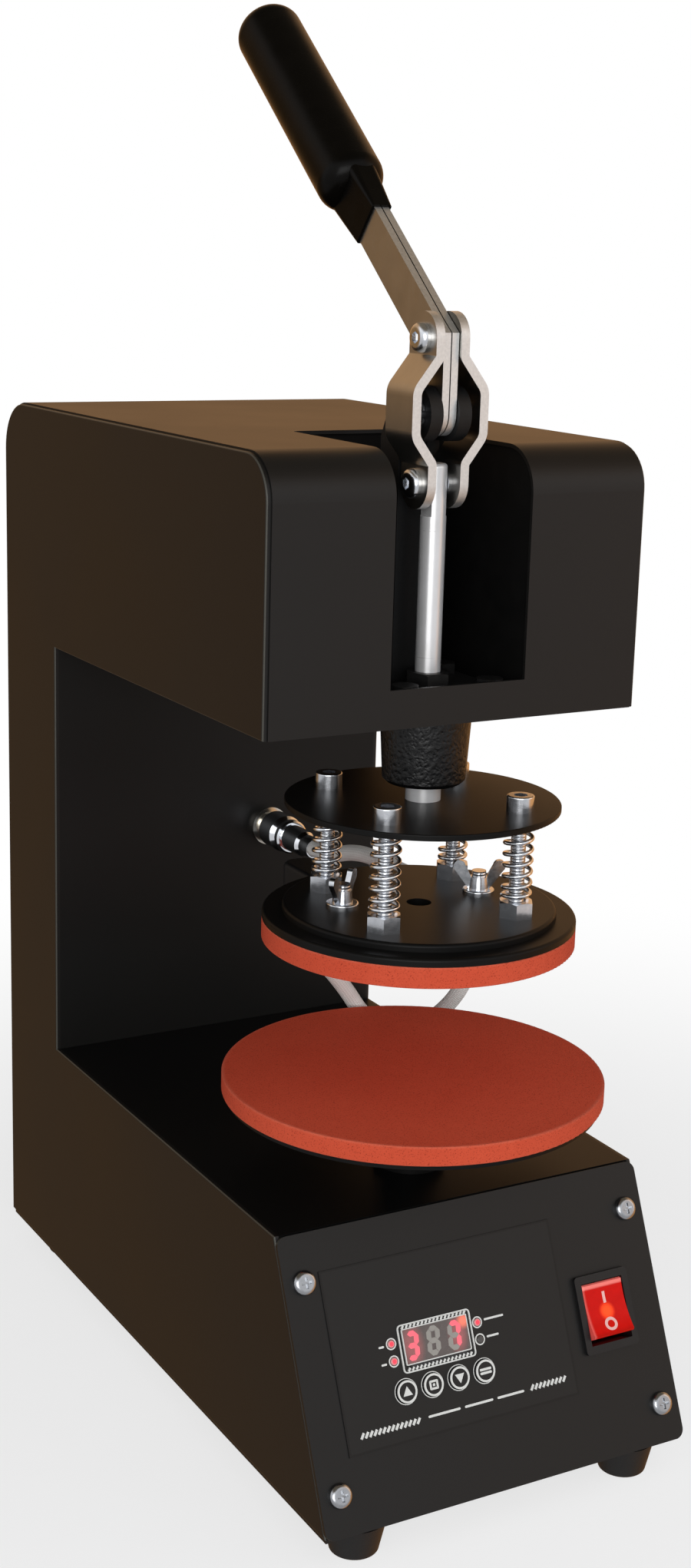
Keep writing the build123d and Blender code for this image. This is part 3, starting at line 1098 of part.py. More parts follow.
axle_point = on_panel(SWITCH_X, SWITCH_DOWN, Pos(0, 0, axle_out) * Sphere(0.5)).center()
axle_y = axle_point.Y
axle_z = axle_point.Z
x_axle = ROCKER_WIDTH / 2 + SIDE_CLEARANCE
housing = bezel + case - mouth
for step in range(3):
    down = SWITCH_DOWN + SWITCH_TAG_PITCH * (step - 1)
    housing += panel_box(SWITCH_X - SWITCH_TAG_WIDTH / 2, SWITCH_X + SWITCH_TAG_WIDTH / 2,
                         down - SWITCH_TAG_THICK / 2, down + SWITCH_TAG_THICK / 2,
                         -SWITCH_DEPTH - SWITCH_TAG_LENGTH, -SWITCH_DEPTH)
housing -= across(ROCKER_AXLE + 2 * PIN_FIT, SWITCH_X - x_axle - 1.2, SWITCH_X + x_axle + 1.2,
                  axle_y, axle_z)
save("switch_housing", housing)

half_throw = math.radians(ROCKER_THROW / 2)
rocker_reach = ROCKER_HEIGHT / 2
rocker_out = ROCKER_RISE + ROCKER_AXLE_DEPTH
rocker_face = make_face(
    Polyline((-rocker_reach, -ROCKER_SKIRT), (-rocker_reach, rocker_out))
    + ThreePointArc((-rocker_reach, rocker_out), (0, rocker_out - ROCKER_DIP), (rocker_reach, rocker_out))
    + Polyline((rocker_reach, rocker_out), (rocker_reach, -ROCKER_SKIRT), (0, -ROCKER_SKIRT - 2),
               (-rocker_reach, -ROCKER_SKIRT)))
rocker_solid = Pos(-ROCKER_WIDTH / 2, 0, 0) * extrude(Plane.YZ * rocker_face, amount=ROCKER_WIDTH)
bound = Rot(0, 90, 0) * Cylinder(ROCKER_RADIUS, ROCKER_WIDTH + 2)
rocker_solid = rocker_solid & bound
rocker_solid += Rot(0, 90, 0) * Cylinder(ROCKER_AXLE / 2, 2 * x_axle + 2.0)
rocker = on_panel(SWITCH_X, SWITCH_DOWN, Pos(0, 0, axle_out) * Rot(-ROCKER_THROW / 2, 0, 0) * rocker_solid)
save("power_rocker", rocker)

# Electrical parts on the base plate
y_mains = Y_COLUMN - MAINS_AHEAD_OF_COLUMN
stand = (Align.CENTER, Align.CENTER, Align.MIN)
relay = Pos(X_IN - RELAY_INSET - RELAY_SIZE[0] / 2, y_mains, Z_BODY) * Box(*RELAY_SIZE, align=stand)
relay = fillet(relay.edges().filter_by(Axis.Z), 3.0)
x_terminal = -(X_IN - TERMINAL_INSET - TERMINAL_SIZE[0] / 2)
terminal = Pos(x_terminal, y_mains, Z_BODY) * Box(*TERMINAL_SIZE, align=stand)
for n in range(TERMINAL_WAYS):
    x = x_terminal + (n - (TERMINAL_WAYS - 1) / 2) * TERMINAL_PITCH
    terminal -= upright(TERMINAL_BORE, Z_BODY + TERMINAL_FLOOR, Z_BODY + TERMINAL_SIZE[2] + 1, x, y_mains)
save("mains_parts", Compound(children=[relay, terminal]))

# Connector on the column: panel socket, then the plug on the heater lead
y_face = Y_COLUMN
socket = lengthways(SOCKET_THREAD, y_face - PLUG_NUT_START - SOCKET_THREAD_AHEAD,
                    y_face + SOCKET_THREAD_BEHIND, SOCKET_X, Z_SOCKET)
socket += lengthways(SOCKET_FLANGE, y_face - SOCKET_FLANGE_THICK, y_face, SOCKET_X, Z_SOCKET)
socket += lengthways(SOCKET_FLANGE - 2, y_face + COVER_SHEET, y_face + COVER_SHEET + SOCKET_NUT_THICK,
                     SOCKET_X, Z_SOCKET)
save("lead_socket", socket)
plug_profile = [(0, PLUG_NUT_START), (PLUG_NUT / 2 - 2.2, PLUG_NUT_START),
                (PLUG_NUT / 2, PLUG_NUT_START + 3.0), (PLUG_NUT / 2, PLUG_NUT_START + PLUG_NUT_LENGTH - 1.5),
                (PLUG_NUT / 2 - 1.8, PLUG_NUT_START + PLUG_NUT_LENGTH)]
ring_start = PLUG_NUT_START + PLUG_NUT_LENGTH + 1.5
plug_profile += [(PLUG_BODY / 2, ring_start - 1.0), (PLUG_RING / 2 - 0.8, ring_start),
                 (PLUG_RING / 2, ring_start + 0.8),
                 (PLUG_RING / 2, ring_start + PLUG_RING_LENGTH - 0.8),
                 (PLUG_RING / 2 - 0.8, ring_start + PLUG_RING_LENGTH)]
plug_profile += [(PLUG_BODY / 2 + 0.6, ring_start + PLUG_RING_LENGTH),
                 (PLUG_BODY / 2, PLUG_LENGTH - 9.0), (PLUG_TAIL / 2, PLUG_LENGTH - 7.0),
                 (PLUG_TAIL / 2, PLUG_LENGTH - 3.5), (PLUG_TAIL / 2 - 0.5, PLUG_LENGTH), (0, PLUG_LENGTH)]
plug = revolve(Plane.XZ * make_face(Polyline(*plug_profile, close=True)), Axis.Z)
plug -= Cylinder(SOCKET_THREAD / 2 + PIN_FIT, 2 * (PLUG_NUT_START + SOCKET_THREAD_AHEAD))
plug = Pos(SOCKET_X, y_face, Z_SOCKET) * Rot(90, 0, 0) * plug
plug -= lengthways(LEAD_DIAMETER + 2 * LEAD_REST, y_face - PLUG_LENGTH - 1,
                   y_face - PLUG_LENGTH + LEAD_IN_PLUG, SOCKET_X, Z_SOCKET)
save("lead_plug", plug)

# Boot on the heating plate that takes the lead's other end from below
y_lead_end = Y_AXIS + BOOT_BEHIND_AXIS
z_boot_low = Z_UPPER_PAD_LOW + BOOT_ABOVE_PAD
y_rim = Y_AXIS + math.sqrt((HEATER_DIAMETER / 2) ** 2 - (abs(BOOT_X) + BOOT_WIDTH / 2) ** 2) - 1.0
boot = block(BOOT_X - BOOT_WIDTH / 2, BOOT_X + BOOT_WIDTH / 2, y_rim, y_lead_end + BOOT_WIDTH / 2 - 1,
             z_boot_low, z_boot_low + BOOT_HEIGHT)
boot = fillet(boot.edges().filter_by(Axis.Z).group_by(Axis.Y)[-1], BOOT_WIDTH / 2 - 1.5)
boot = fillet(boot.faces().sort_by(Axis.Z)[-1].edges().group_by(Axis.Y)[-1], BOOT_ROUND)
boot -= upright(HEATER_DIAMETER, z_boot_low - 1, z_boot_low + BOOT_HEIGHT + 1, 0, Y_AXIS)
z_lead_end = z_boot_low + BOOT_HEIGHT - BOOT_ROOF
boot -= upright(LEAD_DIAMETER + 2 * LEAD_REST, z_boot_low - 1, z_lead_end + LEAD_REST, BOOT_X, y_lead_end)
save("heater_boot", boot)

# Heater lead: its route from the plug, down in a loop behind the lower pad, up to the boot
lead_route = [
    (SOCKET_X, y_face - PLUG_LENGTH + LEAD_IN_PLUG - LEAD_REST, Z_SOCKET),
    (SOCKET_X, 43.5, Z_SOCKET), (30.5, 24.7, 220.4), (39.5, 9.1, 215.6), (56.8, 1.5, 207.5),
    (71.0, 4.6, 193.1), (78.5, 1.2, 170.5), (72.4, 5.4, 151.1), (55.8, 6.7, 140.0),
    (38.0, 5.7, 140.1), (23.3, 4.6, 150.1), (13.2, 5.9, 166.4), (-0.9, 7.3, 182.9),
    (BOOT_X, y_lead_end, 205.0), (BOOT_X, y_lead_end, z_lead_end)]
lead_radii = []
for before, corner, after in zip(lead_route, lead_route[1:], lead_route[2:]):
    run_in = Vector(*corner) - Vector(*before)
    run_out = Vector(*after) - Vector(*corner)
    bend = math.radians(run_in.get_angle(run_out))
    lead_radii.append(0.45 * min(run_in.length, run_out.length) / math.tan(bend / 2))
lead_path = FilletPolyline(*lead_route, radius=lead_radii)
lead_start = Plane(origin=lead_path @ 0, z_dir=lead_path % 0)
lead = sweep(lead_start * Circle(LEAD_DIAMETER / 2), path=lead_path)
print("lead radii", [round(r, 1) for r in lead_radii], "length", round(lead_path.length, 1))
print("lead runs", [round((Vector(*b) - Vector(*a)).length, 1) for a, b in zip(lead_route, lead_route[1:])])
print("lead volume against section times length",
      round(lead.volume / (math.pi * LEAD_DIAMETER ** 2 / 4 * lead_path.length), 4))
save("heater_lead", lead)

print("pad gap", round(PAD_GAP, 2), "stroke", STROKE, "pivot z", Z_PIVOT, "upper pin z", Z_UPPER_PIN)
print("axis y", Y_AXIS, "rocker axle", round(axle_y, 4), round(axle_z, 4), "slope", round(SLOPE_ANGLE, 4))
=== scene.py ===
import math

import bpy
from mathutils import Matrix, Vector


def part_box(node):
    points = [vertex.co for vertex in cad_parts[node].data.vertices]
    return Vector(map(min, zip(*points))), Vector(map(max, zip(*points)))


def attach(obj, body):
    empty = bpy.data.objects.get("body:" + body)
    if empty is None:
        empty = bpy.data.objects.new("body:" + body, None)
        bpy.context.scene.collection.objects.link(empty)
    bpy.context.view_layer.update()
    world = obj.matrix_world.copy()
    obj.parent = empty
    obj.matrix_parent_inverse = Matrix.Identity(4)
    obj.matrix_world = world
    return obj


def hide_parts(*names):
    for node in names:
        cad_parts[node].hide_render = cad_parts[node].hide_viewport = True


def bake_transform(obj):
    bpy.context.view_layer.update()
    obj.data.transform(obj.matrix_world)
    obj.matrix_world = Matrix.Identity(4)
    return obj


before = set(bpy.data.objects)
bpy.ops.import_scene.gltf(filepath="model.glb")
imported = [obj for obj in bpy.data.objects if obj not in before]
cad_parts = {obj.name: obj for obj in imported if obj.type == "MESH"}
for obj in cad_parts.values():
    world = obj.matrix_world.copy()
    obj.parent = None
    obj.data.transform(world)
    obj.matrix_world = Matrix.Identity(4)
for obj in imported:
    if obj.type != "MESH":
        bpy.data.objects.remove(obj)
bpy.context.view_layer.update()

MM = 0.001

# Camera and picture
CAMERA_SPOT = (-438.25 * MM, -782.10 * MM, 483.07 * MM)
CAMERA_TURN = 29.72
CAMERA_DIP = 13.98
CAMERA_ROLL = -1.62
FOCAL_PIXELS = 2839.51
PICTURE_WIDTH = 900
PICTURE_HEIGHT = 2041
SENSOR = 36.0
CAMERA_REACH = 20.0

# Press axis and heights taken from the frame
AXIS_Y = sum(corner[1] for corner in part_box("lower_pad")) / 2
BASE_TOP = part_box("base_top_cover")[1][2]
HEAD_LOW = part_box("arm_plate")[0][2]

# Sloping panel
PANEL_SETBACK = 45.4 * MM
PANEL_RISE = 103.0 * MM
PANEL_FOOT_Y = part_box("front_panel")[0][1]
SLOPE = math.atan2(PANEL_SETBACK, PANEL_RISE)
PANEL_TILT = math.radians(90) - SLOPE
FILM = 0.4 * MM
INK = 0.06 * MM

# What is on the panel is measured in millimetres across and down its slope, unless times MM
# Segments of printed shapes: on small and large rounded corners and round a ring
SMALL_ROUND = 2
LARGE_ROUND = 4
RING_SIDES = 48

# Display: places and sizes, then the corner and line width of its outlines
DISPLAY_X = -22.9
DISPLAY_DOWN = 50.5
WINDOW_SIZE = (28.6, 13.0)
WINDOW_CORNER = 0.6
WINDOW_RISE = 0.92
WINDOW_LINE_WIDER = 0.9
WINDOW_LINE_TALLER = 0.8
WINDOW_LINE = (0.5, 0.4)
DISPLAY_FRAME = (32.8, 18.4)
DISPLAY_FRAME_DOWN = 51.0
DISPLAY_FRAME_LINE = (1.6, 0.5)

# Digits of the display, and the light that spreads round them in the window
DIGIT_PITCH = 9.5
DIGIT_SHIFT = -1.4
DIGITS = [(DISPLAY_X + DIGIT_SHIFT + n * DIGIT_PITCH) * MM for n in (-1, 0, 1)]
DIGIT_HEIGHT = 11.2
DIGIT_WIDTH = 6.0
DIGIT_STROKE = 2.1
DIGIT_GAP = 0.2
DIGIT_POINT = 0.46
DIGIT_LEAN = math.radians(5)
HALO_START = 1.5 * MM
HALO_FLATTER = 0.6
HALO_SHARE = 0.22
HALOS = ((DIGITS[0], 6.5 * MM), (DIGITS[2] + 1.6 * MM, 5.5 * MM))
GLARE_X = -10.0 * MM
GLARE_UP = 4.6 * MM
GLARE_REACH = (0.8 * MM, 3.8 * MM)

# Status lights with their rings (radius, width) and the plain bars beside them (width, corner)
LAMP_LEFT, LAMP_RIGHT = -42.6 * MM, -3.6 * MM
LAMP_UPPER, LAMP_LOWER = 48.0 * MM, 54.6 * MM
LAMP_CORE = (0.6 * MM, 1.3 * MM)
LAMP_RING = (2.25, 0.5)
LABEL_AWAY = 3.2
LABEL_SHIFT = 0.4
LABEL_LEFT = 2.4
LABEL_UPPER = 9.0
LABEL_LOWER = 5.5
LABEL_BAR = (0.8, 0.3)

# Keys, their rings (radius, width) and their signs
KEYS = (("up_key", "up"), ("mode_key", "mode"), ("down_key", "down"), ("set_key", "set"))
KEY_FIRST = -39.7
KEY_PITCH = 11.83
KEY_DOWN = 66.6
KEY_RISE = 1.6
KEY_RING = (4.27, 0.78)
KEY_RING_DEPTH = 0.45 * MM
KEY_HOLE_RING = (5.0, 0.34)
ARROW_RADIUS = 2.4
ARROW_SHIFT = 0.3
MODE_FRAME = (3.9, 3.6, 0.5, 0.85)
MODE_DOT = (1.0, 1.0, 0.2)
SET_LINE = (5.2, 0.95, 0.3)
SET_LINE_SHIFT = 0.7

# Bars of slanted strokes (left, right, down), their strokes (height, pitch, width), plain bars
HATCH_LEAN = math.radians(35)
HATCH_BARS = ((-62.1, -34.7, 78.4), (15.0, 31.9, 77.6))
HATCH_STROKES = (2.5, 1.9, 1.05)
BAND_FROM_TOP = 1.15
BAND_FROM_FOOT = 1.25
BAND_INSET = 1.6
BAND_STROKES = (1.5, 1.75, 0.8)
PLAIN_BARS = ((-32.0, -17.5), (-15.5, -2.5), (-0.5, 12.0))
PLAIN_BAR_DOWN = 78.0
PLAIN_BAR = (0.9, 0.4)

# Rocker: its place, the glow in it, where a painted highlight pales its edges and painted shade
# darkens its foot, its line (width, length) and its ring (radius, width)
ROCKER_X = 56.0
ROCKER_DOWN = 56.0
ROCKER_HALF = 10.8 * MM
ROCKER_FACE_OUT = 3.0 * MM
ROCKER_GLOW = (1.2 * MM, 4.2 * MM)
ROCKER_CREST_HIGHLIGHT = (1.5 * MM, 0.5 * MM)
ROCKER_FLANK_HIGHLIGHT = (8.2 * MM, 9.4 * MM)
ROCKER_FOOT_SHADE = (3.6 * MM, 2.2 * MM)
ROCKER_LINE_UP = 5.6
ROCKER_LINE = (1.3, 4.4)
ROCKER_LINE_CUTS = 5
ROCKER_RING_DOWN = 5.2
ROCKER_RING = (2.9, 1.25)

# Places and sizes in the finishes
BARREL_FADE = 8.0 * MM
# Widths over which the film's rim is darkened as painted shadow
FILM_EDGE_SHADOW = (1.1 * MM, 0.7 * MM)
SPONGE_RIM_WIDTH = (1.8 * MM, 0.4 * MM)
SPONGE_RIM_HEIGHT = 1.1 * MM
THREAD_PITCH = 1.25 * MM
BRAID_ROWS = 900.0
BRAID_STRANDS = 60.0

# Floor: its size, where it starts and ends to fade into the white ground, and how pale it starts
FLOOR_SIZE = 14.0
FLOOR_NEAR = 0.22
FLOOR_FAR = 0.75
FLOOR_LIFT = 0.72

# Plain colours
BLACK = (0.0, 0.0, 0.0)
WHITE = (1.0, 1.0, 1.0)

# Light and room: where the lamps point, the level from behind and from the front, and what
# bright metal shows
LAMPS_AIM = (0.0, -0.02, 0.28)
LIGHT_BACK = 0.18
LIGHT_FRONT = 0.80
WALL_LEFT = (0.26, 0.145, 0.055)
WALL_RIGHT = (0.80, 0.39, 0.145)
WALL_HIGH = (0.95, 0.62, 0.36)
CEILING = (0.17, 0.14, 0.10)
WINDOW_LOW = (0.62, 0.62, 0.63)
WINDOW_HIGH = (1.05, 1.06, 1.08)

# Where the room changes, in parts of a unit vector: from the first value to the second
LIGHT_CHANGE = (-0.35, 0.85)
OPEN_SIDE_CHANGE = (-0.20, 0.42)
OPEN_SIDE_LEAN = 0.9
WINDOW_CHANGE = (-0.35, 0.45)
WALL_CHANGE = (-0.45, 0.45)
WALL_HIGH_CHANGE = (0.0, 0.35)
WALL_HIGH_SHARE = 0.5
CEILING_CHANGE = (0.52, 0.80)


class Value:
    """A shader socket that can be used in sums."""

    def __init__(self, tree, socket):
        self.tree = tree
        self.socket = socket

    def sum(self, operation, first, second=0.0):
        return self.tree.node("Math", {"operation": operation}, {0: first, 1: second})

    def __add__(self, other):
        return self.sum("ADD", self, other)

    def __radd__(self, other):
        return self.sum("ADD", other, self)

    def __sub__(self, other):
        return self.sum("SUBTRACT", self, other)

    def __rsub__(self, other):
        return self.sum("SUBTRACT", other, self)

    def __mul__(self, other):
        return self.sum("MULTIPLY", self, other)

    def __rmul__(self, other):
        return self.sum("MULTIPLY", other, self)

    def __neg__(self):
        return self.sum("SUBTRACT", 0.0, self)

    def __pow__(self, other):
        return self.sum("POWER", self, other)

    def __gt__(self, other):
        return self.sum("GREATER_THAN", self, other)

    def __lt__(self, other):
        return self.sum("LESS_THAN", self, other)

    def size(self):
        return self.sum("ABSOLUTE", self)

    def sine(self):
        return self.sum("SINE", self)

    def larger(self, other):
        return self.sum("MAXIMUM", self, other)

    def between(self, low, high):
        """0 below low, 1 above high, smooth between them."""
        ramp = {"interpolation_type": "SMOOTHSTEP"}
        return self.tree.node("MapRange", ramp, {0: self, 1: low, 2: high, 3: 0.0, 4: 1.0})


class Tree:
    """A node tree that takes any node with its settings and sockets."""

    def __init__(self, tree):
        self.nodes = tree.nodes
        self.links = tree.links

    def put(self, socket, value):
        """Link a value to a socket or set a constant on it."""
        if isinstance(value, Value):
            self.links.new(value.socket, socket)
        elif isinstance(value, tuple) and len(value) == 3 and socket.type == "RGBA":
            socket.default_value = (*value, 1.0)
        else:
            socket.default_value = value

    def node(self, kind, settings=None, sockets=None, output=0):
        """Add a node and give one of its outputs."""
        made = self.nodes.new("ShaderNode" + kind)
        for key, value in (settings or {}).items():
            setattr(made, key, value)
        for key, value in (sockets or {}).items():
            self.put(made.inputs[key], value)
        return Value(self, made.outputs[output])

    def axes(self, vector):
        """The three parts of a vector."""
        outputs = self.node("SeparateXYZ", sockets={0: vector}).socket.node.outputs
        return [Value(self, outputs[n]) for n in range(3)]

    def noise(self, vector, scale, detail=3.0, rough=0.5):
        """Noise of 0 to 1 with so many features in a metre."""
        sockets = {"Vector": vector, "Scale": scale, "Detail": detail, "Roughness": rough}
        return self.node("TexNoise", sockets=sockets)

    def rings(self, along, scale, detail):
        """Noise along one value alone."""
        sockets = {"W": along, "Scale": scale, "Detail": detail}
        return self.node("TexNoise", {"noise_dimensions": "1D"}, sockets)

    def cells(self, vector, scale):
        """Soft rounded cells, so many in a metre."""
        return self.node("TexVoronoi", {"feature": "SMOOTH_F1"}, {"Vector": vector, "Scale": scale})

    def mix(self, amount, first, second):
        """first where amount is 0, second where it is 1, as colours."""
        made = self.nodes.new("ShaderNodeMix")
        made.data_type = "RGBA"
        self.put(made.inputs[0], amount)
        self.put(made.inputs[6], first)
        self.put(made.inputs[7], second)
        return Value(self, made.outputs[2])


class Finish(Tree):
    """One material: a principled surface and the nodes that vary it."""

    def __init__(self, name, **constants):
        self.material = bpy.data.materials.new(name)
        self.material.use_nodes = True
        super().__init__(self.material.node_tree)
        self.surface = self.nodes["Principled BSDF"]
        self.feed(**constants)

    def feed(self, **sockets):
        """Give values to sockets of the surface, named with underscores."""
        for key, value in sockets.items():
            self.put(self.surface.inputs[key.replace("_", " ")], value)

    def place(self, shift=(0.0, 0.0, 0.0), turn=(0.0, 0.0, 0.0), stretch=(1.0, 1.0, 1.0)):
        """Object coordinates, shifted, turned and stretched."""
        point = self.node("TexCoord", output="Object")
        where = {"Vector": point, "Location": shift, "Rotation": turn, "Scale": stretch}
        return self.node("Mapping", {"vector_type": "TEXTURE"}, where)

    def panel_place(self, x, down):
        """Coordinates from a point of the sloping panel: across, up the slope, outwards."""
        return self.place(shift=tuple(on_panel() @ Vector((x * MM, -down * MM, 0.0))),
                          turn=(PANEL_TILT, 0.0, 0.0))

    def relief(self, height, depth, strength):
        """A bumped normal: height 0 to 1 over a depth in metres."""
        sockets = {"Height": height, "Distance": depth, "Strength": strength}
        return self.node("Bump", sockets=sockets)


def distance(x, y):
    """Distance from a middle, out of the two parts across it."""
    return (x * x + y * y) ** 0.5


def colour_of(r, g, b):
    """A colour from its eight-bit screen values."""
    def linear(v):
        v /= 255
        return v / 12.92 if v <= 0.04045 else ((v + 0.055) / 1.055) ** 2.4
    return (linear(r), linear(g), linear(b))


# Finishes
# Paler colour painted on rounded rims as a highlight
RIM_HIGHLIGHT = colour_of(78, 76, 68)


def powder_black(name="powder_black", screen=(17, 16, 15), gloss=0.30):
    """Satin black powder coat: fine orange peel, faint clouds in its sheen, rims painted paler as a
    highlight.
    """
    coat = Finish(name, Specular_IOR_Level=gloss)
    point = coat.place()
    facing = coat.axes(coat.node("NewGeometry", output="Normal"))[0].size()
    # Rounded rims, painted paler as a highlight
    rim = facing.between(0.15, 0.45) * (1.0 - facing.between(0.80, 0.97))
    peel = coat.noise(point, 1100.0, 2.0)
    grain = coat.noise(point, 3600.0, 1.0)
    cloud = coat.noise(point, 11.0, 3.0)
    pale = tuple(part * 1.35 for part in colour_of(*screen))
    body = coat.mix(grain * 0.6 + cloud * 0.4, colour_of(*screen), pale)
    coat.feed(Base_Color=coat.mix(rim * (0.4 + cloud * 0.6), body, RIM_HIGHLIGHT),
              Roughness=0.34 + cloud * 0.12 + grain * 0.05,
              Normal=coat.relief(peel * 0.7 + grain * 0.3, 0.00004, 0.45))
    return coat.material


def inner_black():
    """Flat black primer inside the slot and the housing, darker than the outer coat as painted shade.
    """
    coat = Finish("inner_black", Specular_IOR_Level=0.12)
    point = coat.place()
    dust = coat.noise(point, 140.0, 4.0)
    grain = coat.noise(point, 900.0)
    # Darker than the outer coat: painted shade inside the slot, varied by dust
    coat.feed(Base_Color=coat.mix(dust, colour_of(5, 5, 5), colour_of(12, 11, 10)),
              Roughness=0.62 + dust * 0.2, Normal=coat.relief(grain, 0.00005, 0.4))
    return coat.material


def cast_black():
    """Black enamel on the clamp casting, wrinkled and shiny on the barrel, dull inside the slot."""
    enamel = Finish("cast_black", Specular_IOR_Level=0.32)
    point = enamel.place()
    warp = enamel.node("VectorMath", {"operation": "MULTIPLY_ADD"},
                       {0: enamel.noise(point, 300.0, 2.0), 1: (0.003, 0.003, 0.003), 2: point})
    lumps = enamel.cells(warp, 620.0)
    grain = enamel.noise(point, 1500.0, 2.0)
    barrel = 1.0 - enamel.axes(point)[2].between(HEAD_LOW, HEAD_LOW + BARREL_FADE)
    enamel.feed(Base_Color=enamel.mix(lumps, colour_of(14, 14, 15), colour_of(6, 6, 6)),
                Roughness=0.52 - barrel * (0.30 - lumps * 0.30) + grain * 0.1,
                Normal=enamel.relief((lumps + grain * 0.3) * (0.08 + barrel * 0.92), 0.0005, 0.8))
    return enamel.material


def oxide_black():
    """Oiled black oxide on the clamp's nuts and bolts."""
    oxide = Finish("oxide_black", Metallic=0.3)
    cloud = oxide.noise(oxide.place(), 320.0, 4.0)
    oxide.feed(Base_Color=oxide.mix(cloud, colour_of(14, 14, 15), colour_of(30, 29, 28)),
               Roughness=0.28 + cloud * 0.22)
    return oxide.material


def disc_black():
    """Gloss black on the round plates over fine turning rings."""
    gloss = Finish("disc_black", Specular_IOR_Level=0.10)
    x, y = gloss.axes(gloss.place(shift=(0.0, AXIS_Y, 0.0)))[:2]
    rings = gloss.rings(distance(x, y), 1800.0, 2.0)
    cloud = gloss.noise(gloss.place(), 24.0, 3.0)
    peel = gloss.noise(gloss.place(), 700.0, 2.0)
    gloss.feed(Base_Color=gloss.mix(cloud, colour_of(13, 13, 13), colour_of(20, 19, 18)),
               Roughness=0.34 + rings * 0.05 + cloud * 0.07,
               Normal=gloss.relief(rings * 0.4 + peel * 0.3, 0.00002, 0.5))
    return gloss.material


def zinc_strip():
    """Zinc plated strip: drawn flats, tumbled edges painted paler as a highlight, small stains,
    painted shade on inward faces.
    """
    zinc = Finish("zinc_strip", Metallic=1.0)
    point = zinc.place()
    facing = zinc.axes(zinc.node("NewGeometry", output="Normal"))[0]
    flat = facing.size().between(0.45, 0.80)
    # Faces turned towards the middle are darkened: painted shade between the parts
    inner_shade = (-(facing * zinc.axes(point)[0])).between(0.0005, 0.0060)
    drawn = zinc.noise(zinc.place(stretch=(0.0006, 0.0004, 0.012)), 1.0, 4.0)
    cloud = zinc.noise(point, 80.0, 4.0)
    speck = zinc.noise(point, 900.0, 3.0)
    sheet = zinc.mix(cloud, colour_of(168, 164, 156), colour_of(198, 194, 186))
    # Edges paler than the flats: a painted highlight, with specks of stain
    stained_edge_highlight = zinc.mix(speck, colour_of(206, 208, 208), colour_of(240, 241, 240))
    zinc.feed(Base_Color=zinc.mix(inner_shade * 0.75, zinc.mix(flat, stained_edge_highlight, sheet), colour_of(30, 32, 36)),
              Roughness=0.42 - flat * 0.18 + drawn * 0.10 + speck * 0.06,
              Normal=zinc.relief(drawn * 0.6 + speck * 0.4, 0.00006, 0.5))
    return zinc.material


def zinc_hardware(name="zinc_hardware", thread_low=0.0, thread_high=0.0, tone=1.0):
    """Bright plated nuts and screws with dulled patches, threaded between two heights if asked."""
    zinc = Finish(name, Metallic=1.0)
    point = zinc.place()
    cloud = zinc.noise(point, 420.0, 4.0)
    speck = zinc.noise(point, 2200.0, 2.0)
    low, high = (tuple(tone * part for part in colour_of(*screen))
                 for screen in ((192, 196, 202), (236, 238, 242)))
    zinc.feed(Base_Color=zinc.mix(cloud, low, high),
              Roughness=0.12 + cloud * 0.16 + speck * 0.04)
    height = speck * 0.05
    if thread_high > thread_low:
        z = zinc.axes(point)[2]
        turns = (z * (2 * math.pi / THREAD_PITCH)).sine()
        inside = (z > thread_low) * (z < thread_high)
        height = height + (turns * 0.5 + 0.5) * inside
    zinc.feed(Normal=zinc.relief(height, 0.0003, 0.8))
    return zinc.material


def polished_chrome():
    """Bright chrome with a trace of handling."""
    chrome = Finish("polished_chrome", Metallic=1.0)
    smear = chrome.noise(chrome.place(), 180.0, 3.0)
    chrome.feed(Base_Color=chrome.mix(smear, colour_of(222, 226, 232), colour_of(246, 247, 250)),
                Roughness=0.05 + smear * 0.12)
    return chrome.material


def ground_rod():
    """Ground and chromed shaft with very fine rings round it."""
    ground = Finish("ground_rod", Metallic=0.5)
    point = ground.place()
    rings = ground.rings(ground.axes(point)[2], 900.0, 4.0)
    smear = ground.noise(point, 70.0, 3.0)
    ground.feed(Base_Color=ground.mix(smear, colour_of(214, 213, 212), colour_of(238, 238, 240)),
                Roughness=0.24 + rings * 0.06 + smear * 0.06)
    return ground.material


def spring_wire():
    """Drawn and plated spring wire."""
    wire = Finish("spring_wire", Metallic=1.0)
    cloud = wire.noise(wire.place(), 700.0, 3.0)
    wire.feed(Base_Color=wire.mix(cloud, colour_of(198, 202, 208), colour_of(240, 242, 246)),
              Roughness=0.14 + cloud * 0.16)
    return wire.material


